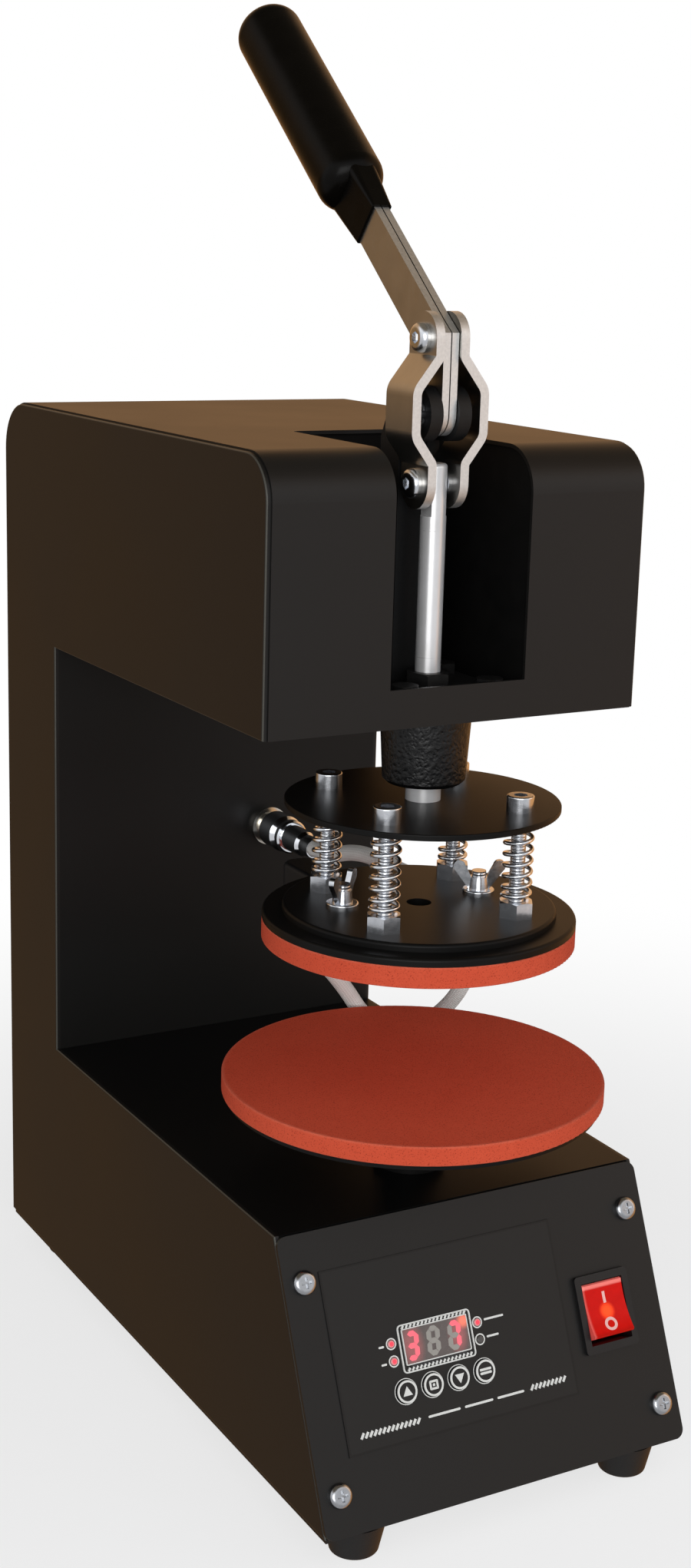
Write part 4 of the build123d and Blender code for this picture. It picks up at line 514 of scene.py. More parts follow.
def red_sponge(node):
    """Firm red silicone sponge: fine open pores darkened as painted shade, a powdery face and paler
    rims at top and foot.
    """
    low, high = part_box(node)
    reach = (high[0] - low[0]) / 2
    sponge = Finish(f"red_sponge_{node}", Specular_IOR_Level=0.06)
    point = sponge.place(shift=(0.0, AXIS_Y, 0.0))
    x, y, z = sponge.axes(point)
    outer = distance(x, y).between(*(reach - width for width in SPONGE_RIM_WIDTH))
    pores = sponge.cells(point, 1500.0)
    grain = sponge.noise(point, 2600.0, 2.0)
    cloud = sponge.noise(point, 22.0, 4.0)
    blotch = sponge.noise(point, 240.0, 4.0, 0.7)
    rim, foot = (1.0 - (z - end[2]).size().between(0.0, SPONGE_RIM_HEIGHT) for end in (high, low))
    body = sponge.mix(cloud * 0.6 + blotch * 0.4, colour_of(194, 72, 48), colour_of(216, 92, 65))
    # Pores darkened: painted shade in the pores
    pore_shaded = sponge.mix(pores.between(0.0, 0.35), colour_of(150, 48, 32), body)
    # Paler along the rim at the top and, less, at the foot
    sponge.feed(Base_Color=sponge.mix((rim + foot * 0.5) * outer * blotch * 0.35, pore_shaded,
                                      colour_of(226, 140, 116)),
                Roughness=0.72 + grain * 0.15,
                Normal=sponge.relief(pores * 0.6 + grain * 0.4, 0.00022, 0.7))
    return sponge.material


def black_rubber():
    """Moulded black rubber with dull dusty patches."""
    rubber = Finish("black_rubber", Specular_IOR_Level=0.35)
    point = rubber.place()
    grain = rubber.noise(point, 1200.0, 3.0)
    dust = rubber.noise(point, 60.0, 4.0)
    rubber.feed(Base_Color=rubber.mix(dust, colour_of(14, 14, 14), colour_of(26, 25, 24)),
                Roughness=0.50 + grain * 0.2, Normal=rubber.relief(grain, 0.00006, 0.5))
    return rubber.material


def dipped_grip():
    """Glossy dipped black plastic, slightly uneven, with faint handling marks."""
    dip = Finish("dipped_grip", Specular_IOR_Level=0.08)
    point = dip.place()
    wave = dip.noise(point, 45.0, 2.0)
    fine = dip.noise(point, 600.0, 2.0)
    smear = dip.noise(point, 130.0, 4.0)
    dip.feed(Base_Color=dip.mix(smear, colour_of(6, 5, 4), colour_of(11, 9, 7)),
             Roughness=0.20 + smear * 0.14, Normal=dip.relief(wave + fine * 0.05, 0.0007, 0.35))
    return dip.material


def black_moulding():
    """Fine spark texture on moulded black plastic."""
    plastic = Finish("black_moulding", Specular_IOR_Level=0.35)
    point = plastic.place()
    spark = plastic.noise(point, 3000.0, 2.0)
    cloud = plastic.noise(point, 90.0)
    plastic.feed(Base_Color=plastic.mix(cloud, colour_of(14, 14, 15), colour_of(24, 24, 25)),
                 Roughness=0.38 + spark * 0.15, Normal=plastic.relief(spark, 0.00004, 0.5))
    return plastic.material


def overlay_film():
    """Printed polyester film with a fine velvet surface, its rim darkened as a painted shadow."""
    film = Finish("overlay_film", Specular_IOR_Level=0.32)
    point = film.place()
    low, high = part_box("panel_overlay")
    left, right = low[0], high[0]
    top, bottom = ((BASE_TOP - corner[2]) / math.cos(SLOPE) for corner in (high, low))
    x, y = film.axes(film.panel_place((left + right) / 2 / MM, (top + bottom) / 2 / MM))[:2]
    side = x.size() - (right - left) / 2
    end = y.size() - (bottom - top) / 2
    edge_shadow = side.larger(end).between(*(-width for width in FILM_EDGE_SHADOW))
    velvet = film.noise(point, 4200.0, 2.0)
    cloud = film.noise(point, 16.0)
    plain = film.mix(cloud, colour_of(17, 17, 17), colour_of(23, 23, 22))
    # Dark rim along the film's edges: painted shadow
    film.feed(Base_Color=film.mix(edge_shadow * 0.8, plain, colour_of(4, 4, 4)),
              Roughness=0.40 + velvet * 0.16, Normal=film.relief(velvet, 0.00003, 0.4))
    return film.material


def window_gloss():
    """Dark printed rim of the display window."""
    gloss = Finish("window_gloss")
    smear = gloss.noise(gloss.place(), 120.0, 3.0)
    gloss.feed(Base_Color=gloss.mix(smear, colour_of(20, 19, 19), colour_of(28, 27, 27)),
               Roughness=0.18 + smear * 0.12)
    return gloss.material


def smoked_pane():
    """Smoked diffusing window, with the red of the lit digits spread in it."""
    pane = Finish("smoked_pane", Emission_Strength=1.0)
    x, y = pane.axes(pane.panel_place(0.0, DISPLAY_DOWN))[:2]
    haze = pane.noise(pane.place(), 260.0, 2.0)
    halo = 0.0
    for spot, reach in HALOS:
        halo = halo + (1.0 - distance(x - spot, y * HALO_FLATTER).between(HALO_START, reach))
    glare = 1.0 - distance(x - GLARE_X, y - GLARE_UP).between(*GLARE_REACH)
    pane.feed(Base_Color=pane.mix(haze, colour_of(84, 76, 73), colour_of(100, 90, 87)),
              Roughness=0.22 + haze * 0.1,
              Emission_Color=pane.mix(glare, pane.mix(halo * HALO_SHARE, BLACK, (1.0, 0.12, 0.14)),
                                      (0.95, 0.16, 0.08)))
    return pane.material


def board_green():
    """Solder mask of the control board, a little cloudy."""
    mask = Finish("board_green")
    cloud = mask.noise(mask.place(), 300.0)
    mask.feed(Base_Color=mask.mix(cloud, colour_of(12, 62, 34), colour_of(20, 82, 44)),
              Roughness=0.28 + cloud * 0.1)
    return mask.material


def plated_brass():
    """Nickel over brass on the panel socket."""
    brass = Finish("plated_brass", Metallic=1.0)
    cloud = brass.noise(brass.place(), 250.0)
    brass.feed(Base_Color=brass.mix(cloud, colour_of(200, 196, 186), colour_of(228, 225, 216)),
               Roughness=0.13 + cloud * 0.15)
    return brass.material


def white_sleeve():
    """Woven glass fibre sleeve: a fine diamond braid that follows the lead, darker in its hollows as
    painted shade.
    """
    sleeve = Finish("white_sleeve", Specular_IOR_Level=0.3)
    uv = sleeve.node("TexCoord", output="UV")
    u, v = sleeve.axes(uv)[:2]
    along = u * BRAID_ROWS
    round_it = v * BRAID_STRANDS
    weave = (along + round_it).sine() * (along - round_it).sine() * 0.5 + 0.5
    cloud = sleeve.noise(sleeve.place(), 180.0, 3.0)
    # Darker where the braid is low: painted shade in its hollows
    sleeve.feed(Base_Color=sleeve.mix(weave * 0.55 + cloud * 0.45, colour_of(206, 203, 198),
                                      colour_of(242, 240, 236)),
                Roughness=0.62 + weave * 0.1, Normal=sleeve.relief(weave, 0.00025, 0.7))
    return sleeve.material


def rocker_red():
    """Clear red plastic, lit from inside round its middle, painted highlight on top and left edges,
    painted shade low.
    """
    red = Finish("rocker_red", Emission_Strength=1.0, Specular_IOR_Level=0.12)
    x, y = red.axes(red.panel_place(ROCKER_X, ROCKER_DOWN))[:2]
    haze = red.noise(red.place(), 260.0, 2.0)
    glow = 1.0 - distance(x, y).between(*ROCKER_GLOW)
    # Painted highlight along the top and left edges, painted shade along the foot
    crest_highlight = y.between(*(ROCKER_HALF - width for width in ROCKER_CREST_HIGHLIGHT))
    flank_highlight = (-x).between(*ROCKER_FLANK_HIGHLIGHT) * 0.35
    foot = (-y).between(*(ROCKER_HALF - width for width in ROCKER_FOOT_SHADE))
    body = red.mix(haze, colour_of(168, 4, 3), colour_of(196, 8, 5))
    shaded_body = red.mix(foot * 0.35, body, colour_of(120, 4, 4))
    red.feed(Base_Color=red.mix(crest_highlight * 0.75 + flank_highlight, shaded_body, colour_of(250, 150, 140)),
             Roughness=0.20 + haze * 0.08,
             Emission_Color=red.mix(glow, (0.16, 0.003, 0.001), (0.95, 0.10, 0.02)))
    return red.material


def lamp_resin():
    """Clear resin of the status lights: three lit red in the middle, the fourth dark."""
    resin = Finish("lamp_resin", Emission_Strength=1.0)
    middle = ((LAMP_LEFT + LAMP_RIGHT) / 2 / MM, (LAMP_UPPER + LAMP_LOWER) / 2 / MM)
    x, y = resin.axes(resin.panel_place(*middle))[:2]
    across = x.size() - (LAMP_RIGHT - LAMP_LEFT) / 2
    along = y.size() - (LAMP_LOWER - LAMP_UPPER) / 2
    core = 1.0 - distance(across, along).between(*LAMP_CORE)
    dark = (x > 0.0) * (y < 0.0)
    haze = resin.noise(resin.place(), 900.0)
    unlit = resin.mix(haze, colour_of(60, 58, 56), colour_of(84, 80, 78))
    lit = resin.mix(core, colour_of(214, 150, 150), colour_of(226, 60, 70))
    resin.feed(Base_Color=resin.mix(dark, lit, unlit), Roughness=0.15 + haze * 0.1,
               Emission_Color=resin.mix(core * (1.0 - dark), BLACK, (0.55, 0.02, 0.05)))
    return resin.material


def printed(name, screen):
    """Screen printed ink, a little uneven."""
    ink = Finish(name, Specular_IOR_Level=0.3)
    grain = ink.noise(ink.place(), 1800.0, 3.0)
    dim = tuple(part * 0.82 for part in colour_of(*screen))
    ink.feed(Base_Color=ink.mix(grain, dim, colour_of(*screen)), Roughness=0.5 + grain * 0.1)
    return ink.material


def lit_segment(name, glow, body):
    """A digit's segment, lit from behind."""
    lit = Finish(name, Emission_Strength=1.0)
    fade = lit.noise(lit.place(), 420.0, 2.0)
    dim = tuple(part * 0.8 for part in glow)
    pale, dull = colour_of(*body), tuple(part * 0.9 for part in colour_of(*body))
    lit.feed(Base_Color=lit.mix(fade, pale, dull), Roughness=0.3 + fade * 0.1,
             Emission_Color=lit.mix(fade, dim, glow))
    return lit.material


def pale_floor():
    """Matt white table top that fades into the picture's white ground."""
    floor = Finish("pale_floor", Specular_IOR_Level=0.2)
    point = floor.place()
    x, y = floor.axes(point)[:2]
    grain = floor.noise(point, 40.0, 3.0)
    floor.feed(Base_Color=floor.mix(grain, (0.84, 0.84, 0.84), (0.90, 0.90, 0.90)),
               Roughness=0.75 + grain * 0.1)
    path = floor.node("LightPath").socket.node.outputs
    seen = Value(floor, path["Is Camera Ray"])
    away = distance(x, y).between(FLOOR_NEAR, FLOOR_FAR)
    faded = seen * (FLOOR_LIFT + (1.0 - FLOOR_LIFT) * away)
    white = floor.node("Emission", sockets={"Color": WHITE, "Strength": 1.0})
    shade = Value(floor, floor.surface.outputs[0])
    both = floor.node("MixShader", sockets={0: faded, 1: shade, 2: white})
    floor.links.new(both.socket, floor.nodes["Material Output"].inputs["Surface"])
    return floor.material


# Modelling helpers
def begin(kind, **settings):
    """Add a primitive with nothing else selected."""
    bpy.ops.object.select_all(action="DESELECT")
    getattr(bpy.ops.mesh, f"primitive_{kind}_add")(**settings)
    return bpy.context.object


def only(piece):
    """Select this piece alone."""
    bpy.ops.object.select_all(action="DESELECT")
    piece.select_set(True)
    bpy.context.view_layer.objects.active = piece


def settle(piece, matrix=None):
    """Move a piece to its place and put that place into its mesh."""
    if matrix is not None:
        piece.matrix_world = matrix @ piece.matrix_world
    only(piece)
    bpy.ops.object.transform_apply(location=True, rotation=True, scale=True)
    return piece


def dress(piece, name, material):
    """Name a piece and paint it."""
    piece.name = name
    piece.data.name = name
    piece.data.materials.clear()
    piece.data.materials.append(material)
    return piece


def finish_piece(piece, name, material, body):
    """Name a piece, paint it and let it ride."""
    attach(dress(piece, name, material), body)


def join(pieces):
    """One piece out of several."""
    bpy.ops.object.select_all(action="DESELECT")
    for piece in pieces:
        piece.select_set(True)
    bpy.context.view_layer.objects.active = pieces[0]
    bpy.ops.object.join()
    return bpy.context.object


def open_mesh(piece):
    """Start to edit a piece with all of it selected."""
    only(piece)
    bpy.ops.object.mode_set(mode="EDIT")
    bpy.ops.mesh.select_all(action="SELECT")


def raise_flat(piece, height):
    """Turn a flat outline into a thin plate that stands on z = 0."""
    open_mesh(piece)
    bpy.ops.mesh.extrude_region_move(TRANSFORM_OT_translate={"value": (0, 0, height)})
    bpy.ops.mesh.select_all(action="SELECT")
    bpy.ops.mesh.normals_make_consistent(inside=False)
    bpy.ops.object.mode_set(mode="OBJECT")
    return piece


def hollow(piece, width):
    """Keep only the rim of a flat outline."""
    open_mesh(piece)
    bpy.ops.mesh.inset(thickness=width)
    bpy.ops.mesh.delete(type="FACE")
    bpy.ops.object.mode_set(mode="OBJECT")
    return piece


def flat_ring(x, y, outer, width, height=INK):
    """A thin printed ring, its measures in millimetres."""
    ring = begin("circle", vertices=RING_SIDES, radius=outer * MM, fill_type="NGON",
                 location=(x * MM, y * MM, 0))
    ring = hollow(settle(ring), width * MM)
    return raise_flat(ring, height) if height else ring


def flat_plate(x, y, length, width, corner=0.0, steps=1, turn=0.0, height=INK):
    """A thin plate, its corners cut or rounded if asked."""
    plate = begin("plane", size=1.0, location=(x * MM, y * MM, 0), rotation=(0, 0, turn))
    plate.scale = (length * MM, width * MM, 1.0)
    bpy.ops.object.transform_apply(location=False, rotation=False, scale=True)
    if corner:
        open_mesh(plate)
        bpy.ops.mesh.bevel(offset=corner * MM, segments=steps, affect="VERTICES")
        bpy.ops.object.mode_set(mode="OBJECT")
    settle(plate)
    return raise_flat(plate, height) if height else plate


def flat_frame(x, y, length, width, corner, line, height=INK):
    """A thin outline with rounded corners."""
    plate = flat_plate(x, y, length, width, corner, LARGE_ROUND, height=0)
    return raise_flat(hollow(plate, line * MM), height)


def flat_triangle(x, y, radius, turn):
    """A thin printed arrow head."""
    arrow = begin("circle", vertices=3, radius=radius * MM, fill_type="NGON",
                  location=(x * MM, y * MM, 0), rotation=(0, 0, turn))
    return raise_flat(settle(arrow), INK)


def repeat(piece, steps):
    """Copies of a piece, each with its own mesh, moved by each step across."""
    copies = [piece]
    for step in steps:
        copy = piece.copy()
        copy.data = piece.data.copy()
        bpy.context.scene.collection.objects.link(copy)
        copy.location = (step * MM, 0, 0)
        copies.append(settle(copy))
    return copies


def on_panel(out=0.0):
    """Places a piece drawn flat, x across and y up the slope, on the sloping panel."""
    top = Vector((0.0, PANEL_FOOT_Y + PANEL_SETBACK, BASE_TOP))
    tilt = Matrix.Rotation(PANEL_TILT, 4, "X")
    return Matrix.Translation(top) @ tilt @ Matrix.Translation((0, 0, out))


# Printed panel
def hatch(left, right, down, tall, pitch, thick, height=INK):
    """A bar of slanted strokes between two places across."""
    count = round((right - left) / pitch)
    stroke = flat_plate(left + pitch / 2, -down, thick, tall, turn=-HATCH_LEAN, height=height)
    return join(repeat(stroke, [n * pitch for n in range(1, count)]))


def panel_print(white):
    """Outlines with their bands, rings round lights and keys, slanted strokes, plain bars."""
    wide, tall = DISPLAY_FRAME
    rise = WINDOW_RISE * MM - FILM + INK
    band_left = DISPLAY_X - wide / 2 + BAND_INSET
    band_right = DISPLAY_X + wide / 2 - BAND_INSET
    band_top = DISPLAY_FRAME_DOWN - tall / 2 + BAND_FROM_TOP
    band_foot = DISPLAY_FRAME_DOWN + tall / 2 - BAND_FROM_FOOT
    parts = [flat_frame(DISPLAY_X, -DISPLAY_FRAME_DOWN, wide, tall, *DISPLAY_FRAME_LINE, rise),
             flat_frame(DISPLAY_X, -DISPLAY_DOWN, WINDOW_SIZE[0] + WINDOW_LINE_WIDER,
                        WINDOW_SIZE[1] + WINDOW_LINE_TALLER, *WINDOW_LINE, rise)]
    for down in (band_top, band_foot):
        parts.append(hatch(band_left, band_right, down, *BAND_STROKES, rise))
    for x in (LAMP_LEFT / MM, LAMP_RIGHT / MM):
        for down in (LAMP_UPPER / MM, LAMP_LOWER / MM):
            parts.append(flat_ring(x, -down, *LAMP_RING))
            side = -1 if x < DISPLAY_X else 1
            right = LABEL_UPPER if down < DISPLAY_DOWN else LABEL_LOWER
            length = LABEL_LEFT if side < 0 else right
            parts.append(flat_plate(x + side * (LABEL_AWAY + length / 2), -down + side * LABEL_SHIFT,
                                    length, *LABEL_BAR, SMALL_ROUND))
    for n in range(len(KEYS)):
        parts.append(flat_ring(KEY_FIRST + n * KEY_PITCH, -KEY_DOWN, *KEY_HOLE_RING))
    for left, right, down in HATCH_BARS:
        parts.append(hatch(left, right, down, *HATCH_STROKES))
    for left, right in PLAIN_BARS:
        parts.append(flat_plate((left + right) / 2, -PLAIN_BAR_DOWN, right - left, *PLAIN_BAR,
                                SMALL_ROUND))
    sheet = settle(join(parts), on_panel(FILM))
    finish_piece(sheet, "panel_print", white, "frame")


def key_mark(body, x, icon, white):
    """A ring near a key's rim and its icon, on the key's own face."""
    trim = flat_ring(x, -KEY_DOWN, *KEY_RING, KEY_RING_DEPTH + INK)
    parts = [settle(trim, Matrix.Translation((0, 0, -KEY_RING_DEPTH)))]
    if icon == "up":
        parts.append(flat_triangle(x, -KEY_DOWN - ARROW_SHIFT, ARROW_RADIUS, 0.0))
    elif icon == "down":
        parts.append(flat_triangle(x, -KEY_DOWN + ARROW_SHIFT, ARROW_RADIUS, math.pi))
    elif icon == "mode":
        parts.append(flat_frame(x, -KEY_DOWN, *MODE_FRAME))
        parts.append(flat_plate(x, -KEY_DOWN, *MODE_DOT, SMALL_ROUND))
    else:
        for shift in (SET_LINE_SHIFT, -SET_LINE_SHIFT):
            parts.append(flat_plate(x, -KEY_DOWN + shift, *SET_LINE, SMALL_ROUND))
    mark = settle(join(parts), on_panel(KEY_RISE * MM))
    finish_piece(mark, f"{body}_mark", white, body)


def digit(centre, lit):
    """One seven segment figure, leaning a little, from the segments that are named."""
    half_wide = (DIGIT_WIDTH - DIGIT_STROKE) / 2
    half_tall = (DIGIT_HEIGHT - DIGIT_STROKE) / 2
    bars = {"top": (0, half_tall, False),
            "middle": (0, 0, False),
            "bottom": (0, -half_tall, False),
            "upper_left": (-half_wide, half_tall / 2, True),
            "upper_right": (half_wide, half_tall / 2, True),
            "lower_left": (-half_wide, -half_tall / 2, True),
            "lower_right": (half_wide, -half_tall / 2, True)}
    parts = []
    for name in lit:
        x, y, upright = bars[name]
        length = (half_tall if upright else 2 * half_wide) - DIGIT_GAP
        turn = math.radians(90) - DIGIT_LEAN if upright else 0.0
        parts.append(flat_plate(centre / MM + x + y * math.tan(DIGIT_LEAN), -DISPLAY_DOWN + y, length,
                                DIGIT_STROKE, DIGIT_STROKE * DIGIT_POINT, turn=turn))
    return join(parts)


def display(pane, glowing, ghost):
    """Smoked window with three digits: two lit, the middle one a ghost of all its segments."""
    window = flat_plate(DISPLAY_X, -DISPLAY_DOWN, *WINDOW_SIZE, WINDOW_CORNER, LARGE_ROUND,
                        height=WINDOW_RISE * MM - FILM)
    settle(window, on_panel(FILM))
    finish_piece(window, "display_window", pane, "frame")
    right_side = ["upper_right", "lower_right"]
    left_side = ["upper_left", "lower_left"]
    every = ["top", "middle", "bottom", *left_side, *right_side]
    shown = (("digit_left", DIGITS[0], ["top", "middle", "bottom", *right_side], glowing),
             ("digit_middle", DIGITS[1], every, ghost),
             ("digit_right", DIGITS[2], ["top", *right_side], glowing),
             ("digit_right_ghost", DIGITS[2], ["middle", "bottom", *left_side], ghost))
    for name, centre, lit, material in shown:
        figure = settle(digit(centre, lit), on_panel(WINDOW_RISE * MM))
        finish_piece(figure, name, material, "frame")


def wrap_on_rocker(piece):
    """Lay a flat mark on the rocker's curved face and give it the ink's thickness."""
    only(piece)
    wrap = piece.modifiers.new("wrap", "SHRINKWRAP")
    wrap.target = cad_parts["power_rocker"]
    wrap.wrap_mode = "ABOVE_SURFACE"
    wrap.offset = INK
    bpy.ops.object.modifier_apply(modifier="wrap")
    skin = piece.modifiers.new("skin", "SOLIDIFY")
    skin.thickness = INK
    skin.offset = 0.0
    bpy.ops.object.modifier_apply(modifier="skin")
    return piece


def rocker_marks(white):
    """The line and the ring of an on-off switch."""
    bar = flat_plate(ROCKER_X, -(ROCKER_DOWN - ROCKER_LINE_UP), *ROCKER_LINE, height=0)
    open_mesh(bar)
    bpy.ops.mesh.subdivide(number_cuts=ROCKER_LINE_CUTS)
    bpy.ops.object.mode_set(mode="OBJECT")
    ring = flat_ring(ROCKER_X, -(ROCKER_DOWN + ROCKER_RING_DOWN), *ROCKER_RING, height=0)
    marks = settle(join([bar, ring]), on_panel(ROCKER_FACE_OUT))
    finish_piece(wrap_on_rocker(marks), "rocker_marks", white, "rocker")


# Picture
def set_camera():
    """The photograph's camera."""
    lens = bpy.data.cameras.new("camera")
    lens.sensor_fit = "VERTICAL"
    lens.sensor_height = SENSOR
    lens.lens = FOCAL_PIXELS / PICTURE_HEIGHT * SENSOR
    lens.clip_end = CAMERA_REACH
    camera = bpy.data.objects.new("camera", lens)
    bpy.context.scene.collection.objects.link(camera)
    turn = Matrix.Rotation(-math.radians(CAMERA_TURN), 4, "Z")
    dip = Matrix.Rotation(math.radians(90 - CAMERA_DIP), 4, "X")
    roll = Matrix.Rotation(-math.radians(CAMERA_ROLL), 4, "Z")
    camera.matrix_world = Matrix.Translation(CAMERA_SPOT) @ turn @ dip @ roll
    scene = bpy.context.scene
    scene.camera = camera
    scene.render.resolution_x = PICTURE_WIDTH
    scene.render.resolution_y = PICTURE_HEIGHT
    scene.view_settings.view_transform = "Standard"


def soft_light(name, spot, width, height, power):
    """A large soft box that points at the press."""
    lamp = bpy.data.lights.new(name, "AREA")
    lamp.shape = "RECTANGLE"
    lamp.size = width
    lamp.size_y = height
    lamp.energy = power
    box = bpy.data.objects.new(name, lamp)
    bpy.context.scene.collection.objects.link(box)
    away = Vector(spot) - Vector(LAMPS_AIM)
    box.location = spot
    box.rotation_euler = away.to_track_quat("Z", "Y").to_euler()


def set_room():
    """White ground, soft light mostly from the front, a pale room with brown walls behind."""
    world = bpy.data.worlds.new("room")
    bpy.context.scene.world = world
    world.use_nodes = True
    room = Tree(world.node_tree)
    room.nodes.clear()
    x, y, z = room.axes(room.node("TexCoord", output="Generated"))
    ahead = -y
    open_side = (ahead - x * OPEN_SIDE_LEAN).between(*OPEN_SIDE_CHANGE)
    warm = room.mix(x.between(*WALL_CHANGE), WALL_LEFT, WALL_RIGHT)
    wall = room.mix(z.between(*WALL_HIGH_CHANGE) * WALL_HIGH_SHARE, warm, WALL_HIGH)
    ceiling = z.between(*CEILING_CHANGE)
    window = room.mix(z.between(*WINDOW_CHANGE), WINDOW_LOW, WINDOW_HIGH)
    around = room.mix(ceiling, room.mix(open_side, wall, window), CEILING)
    mirror = room.node("Background", sockets={"Color": around, "Strength": 1.0})
    level = LIGHT_BACK + (LIGHT_FRONT - LIGHT_BACK) * ahead.between(*LIGHT_CHANGE)
    light = room.node("Background", sockets={"Color": (0.97, 0.98, 1.0), "Strength": level})
    white = room.node("Background", sockets={"Color": WHITE, "Strength": 1.0})
    path = room.node("LightPath").socket.node.outputs
    seen = Value(room, path["Is Camera Ray"]) + Value(room, path["Is Transmission Ray"])
    mirrored = Value(room, path["Is Glossy Ray"])
    bounced = room.node("MixShader", sockets={0: mirrored, 1: light, 2: mirror})
    both = room.node("MixShader", sockets={0: seen, 1: bounced, 2: white})
    out = room.nodes.new("ShaderNodeOutputWorld")
    room.links.new(both.socket, out.inputs["Surface"])
    soft_light("key", (-1.05, -1.60, 0.62), width=1.3, height=1.0, power=15.0)
    soft_light("fill", (1.55, -1.10, 0.75), width=0.8, height=1.2, power=2.5)
    floor = begin("plane", size=FLOOR_SIZE, location=(0, 0, 0))
    floor.name = "floor"
    floor.data.materials.append(pale_floor())
    floor.visible_glossy = False


# Heater lead: its route from the plug to the boot, in millimetres, and its thickness
LEAD_DIAMETER = 7.2 * MM
LEAD_ROUTE = [
    (24.7, 61.45, 213.9), (24.7, 43.5, 213.9), (30.5, 24.7, 220.4), (39.5, 9.1, 215.6),
    (56.8, 1.5, 207.5), (71.0, 4.6, 193.1), (78.5, 1.2, 170.5), (72.4, 5.4, 151.1),
    (55.8, 6.7, 140.0), (38.0, 5.7, 140.1), (23.3, 4.6, 150.1), (13.2, 5.9, 166.4),
    (-0.9, 7.3, 182.9), (-8.0, 6.75, 205.0), (-8.0, 6.75, 223.1)]


def smooth_line(name, spots, radius, steps=12, sides=7):
    """One smooth spline through the air as a mesh: a line, or a capped tube with a radius."""
    curve = bpy.data.curves.new(name, "CURVE")
    curve.dimensions = "3D"
    curve.bevel_depth = radius
    curve.bevel_resolution = sides
    curve.resolution_u = steps
    curve.use_fill_caps = radius > 0
    line = curve.splines.new("NURBS")
    line.points.add(len(spots) - 1)
    for point, spot in zip(line.points, spots):
        point.co = (*(part * MM for part in spot), 1.0)
    line.order_u = 3
    line.use_endpoint_u = True
    holder = bpy.data.objects.new(name, curve)
    bpy.context.scene.collection.objects.link(holder)
    bpy.context.view_layer.update()
    mesh = bpy.data.meshes.new_from_object(holder)
    bpy.data.objects.remove(holder)
    return mesh


def heater_lead(material):
    """The limp sleeved lead from the plug to the boot on the heating plate."""
    path = [tuple(vertex.co) for vertex in smooth_line("lead_line", LEAD_ROUTE, 0.0).vertices]
    tube = smooth_line("lead_sleeve", LEAD_ROUTE, LEAD_DIAMETER / 2)
    sleeve = bpy.data.objects.new("lead_sleeve", tube)
    bpy.context.scene.collection.objects.link(sleeve)
    only(sleeve)
    bpy.ops.object.shade_smooth_by_angle(angle=math.radians(40))
    sleeve.data.materials.append(material)
    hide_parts("heater_lead")
    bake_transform(sleeve)


# Pressure springs: turns, then sizes in millimetres and the degrees they are turned by
SPRING_TURNS = 8
SPRING_WIRE = 1.7
SPRING_END_PITCH = 2.3
SPRING_POINTS = 20
SPRING_LOW, SPRING_HIGH = (corner[2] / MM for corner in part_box("pressure_springs"))
SPRING_OUTER = 12.3
SPRING_CIRCLE = 80.0
SPRING_FIRST = 39.0


def coil_height(turns):
    """Height of the wire after so many turns: close end turns, even turns between."""
    low = SPRING_LOW + SPRING_WIRE / 2
    tall = SPRING_HIGH - SPRING_LOW - SPRING_WIRE
    pitch = (tall - 2 * SPRING_END_PITCH) / (SPRING_TURNS - 2)
    start = min(turns, 1.0) * SPRING_END_PITCH
    middle = min(max(turns - 1.0, 0.0), SPRING_TURNS - 2) * pitch
    last = max(turns - (SPRING_TURNS - 1), 0.0) * SPRING_END_PITCH
    return low + start + middle + last


def springs(material):
    """Four coil springs between the heating plate and the carrier disc."""
    radius = (SPRING_OUTER - SPRING_WIRE) / 2 / math.cos(math.pi / SPRING_POINTS)
    spots = []
    for n in range(SPRING_TURNS * SPRING_POINTS + 1):
        turns = n / SPRING_POINTS
        angle = 2 * math.pi * turns
        spots.append((radius * math.cos(angle), radius * math.sin(angle), coil_height(turns)))
    mesh = smooth_line("spring", spots, SPRING_WIRE / 2 * MM, steps=2, sides=3)
    coils = []
    for quarter in range(4):
        angle = math.radians(SPRING_FIRST + 90 * quarter)
        coil = bpy.data.objects.new("coil", mesh.copy())
        bpy.context.scene.collection.objects.link(coil)
        coil.location = (SPRING_CIRCLE / 2 * math.cos(angle) * MM,
                         AXIS_Y + SPRING_CIRCLE / 2 * math.sin(angle) * MM, 0.0)
        coils.append(coil)
    coils = settle(join(coils))
    bpy.ops.object.shade_smooth_by_angle(angle=math.radians(60))
    dress(coils, "coil_springs", material)
    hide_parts("pressure_springs")
    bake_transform(coils)


def panel_pieces():
    """Prints of the film, signs of the keys, display, marks of the rocker."""
    white = printed("print_white", (228, 228, 224))
    glowing = lit_segment("lit_pink", (0.98, 0.14, 0.19), (120, 60, 66))
    ghost = lit_segment("ghost_segment", (0.02, 0.018, 0.016), (150, 146, 140))
    panel_print(white)
    for number, (body, icon) in enumerate(KEYS):
        key_mark(body, KEY_FIRST + number * KEY_PITCH, icon, white)
    display(smoked_pane(), glowing, ghost)
    rocker_marks(printed("rocker_white", (255, 196, 190)))


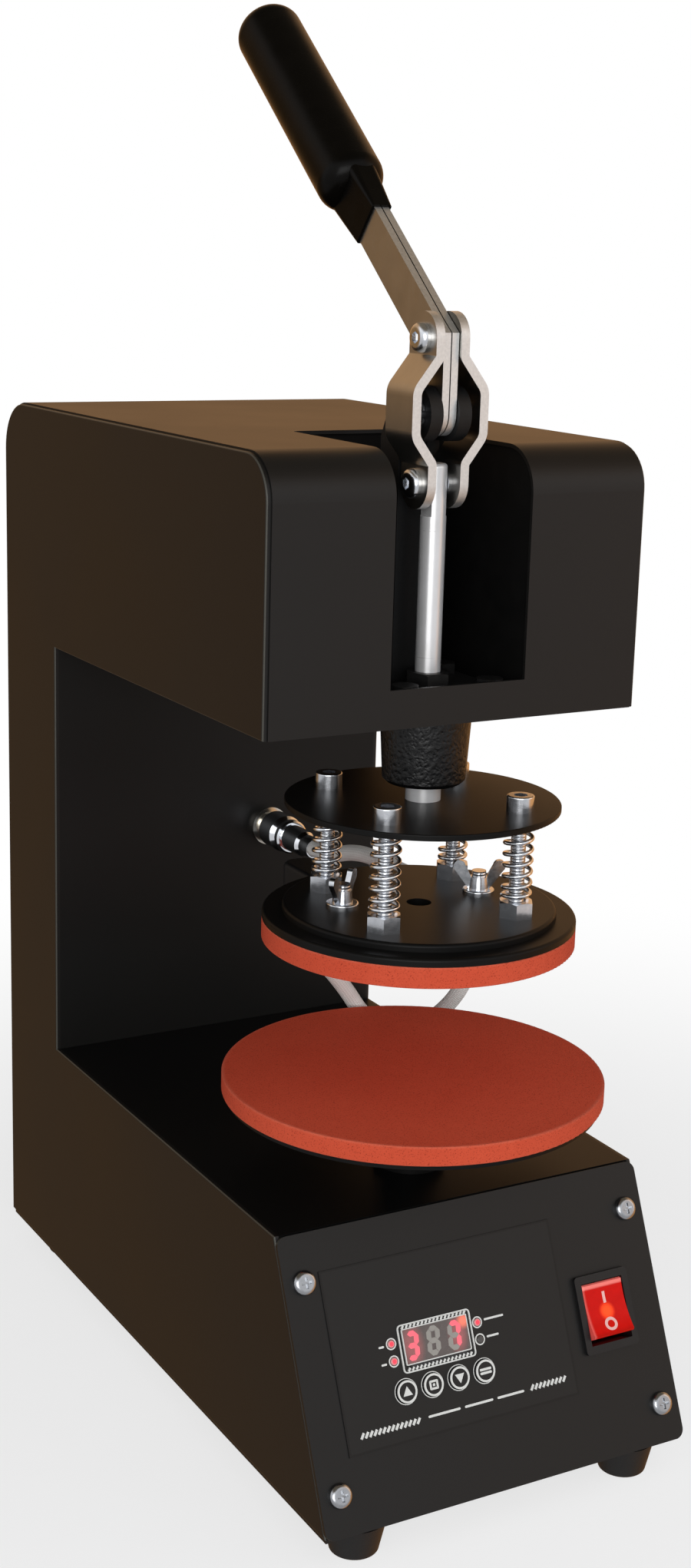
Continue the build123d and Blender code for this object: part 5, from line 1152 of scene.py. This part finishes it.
def paint_solids():
    """Give each of the frame's own pieces its finish."""
    disc_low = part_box("spring_carrier_disc")[0][2]
    plate_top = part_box("heater_cover_disc")[1][2]
    paint = {
        powder_black(): ["left_side_panel", "right_side_panel", "head_cover", "back_cover",
                         "front_panel", "base_plate"],
        # A darker, less glossy copy of the powder coat: painted shade on the column under the head
        powder_black("powder_black_column_shade", (14, 14, 13), 0.22): ["column_cover"],
        powder_black("powder_black_shaded", (11, 11, 11), 0.16): ["base_top_cover"],
        inner_black(): ["arm_plate", "spine", "slot_channel", "base_bridge"],
        cast_black(): ["clamp_casting"],
        oxide_black(): ["clamp_bolts", "rod_guide_nut"],
        disc_black(): ["spring_carrier_disc", "heater_cover_disc", "heating_plate", "lower_disc",
                       "lower_post"],
        zinc_strip(): ["handle_bars", "left_link", "right_link"],
        zinc_hardware(): ["arm_bolts", "foot_screws", "rear_screws", "pivot_pin", "pivot_clips",
                          "upper_link_pin", "lower_link_pins", "rod_nut", "spring_seat_nuts",
                          "left_wing_nut", "right_wing_nut"],
        # A darker copy of the zinc finish on the panel screws
        zinc_hardware("dark_zinc", tone=0.55): ["panel_screws"],
        zinc_hardware("threaded_zinc", plate_top, disc_low): ["spring_bolts", "heater_studs"],
        polished_chrome(): ["lead_plug"],
        ground_rod(): ["plunger_rod"],
        red_sponge("upper_pad"): ["upper_pad"],
        red_sponge("lower_pad"): ["lower_pad"],
        black_rubber(): ["feet"],
        dipped_grip(): ["handle_grip"],
        black_moulding(): ["switch_housing", "mains_inlet", "mains_parts", "heater_boot",
                           "button_up", "button_mode", "button_down", "button_set"],
        overlay_film(): ["panel_overlay"],
        window_gloss(): ["display_lens", "digit_module"],
        board_green(): ["control_board"],
        plated_brass(): ["lead_socket"],
        rocker_red(): ["power_rocker"],
        lamp_resin(): ["indicator_leds"],
    }
    for material, nodes in paint.items():
        for node in nodes:
            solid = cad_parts[node]
            solid.data.materials.clear()
            solid.data.materials.append(material)


set_camera()
set_room()
heater_lead(white_sleeve())
springs(spring_wire())
panel_pieces()
paint_solids()
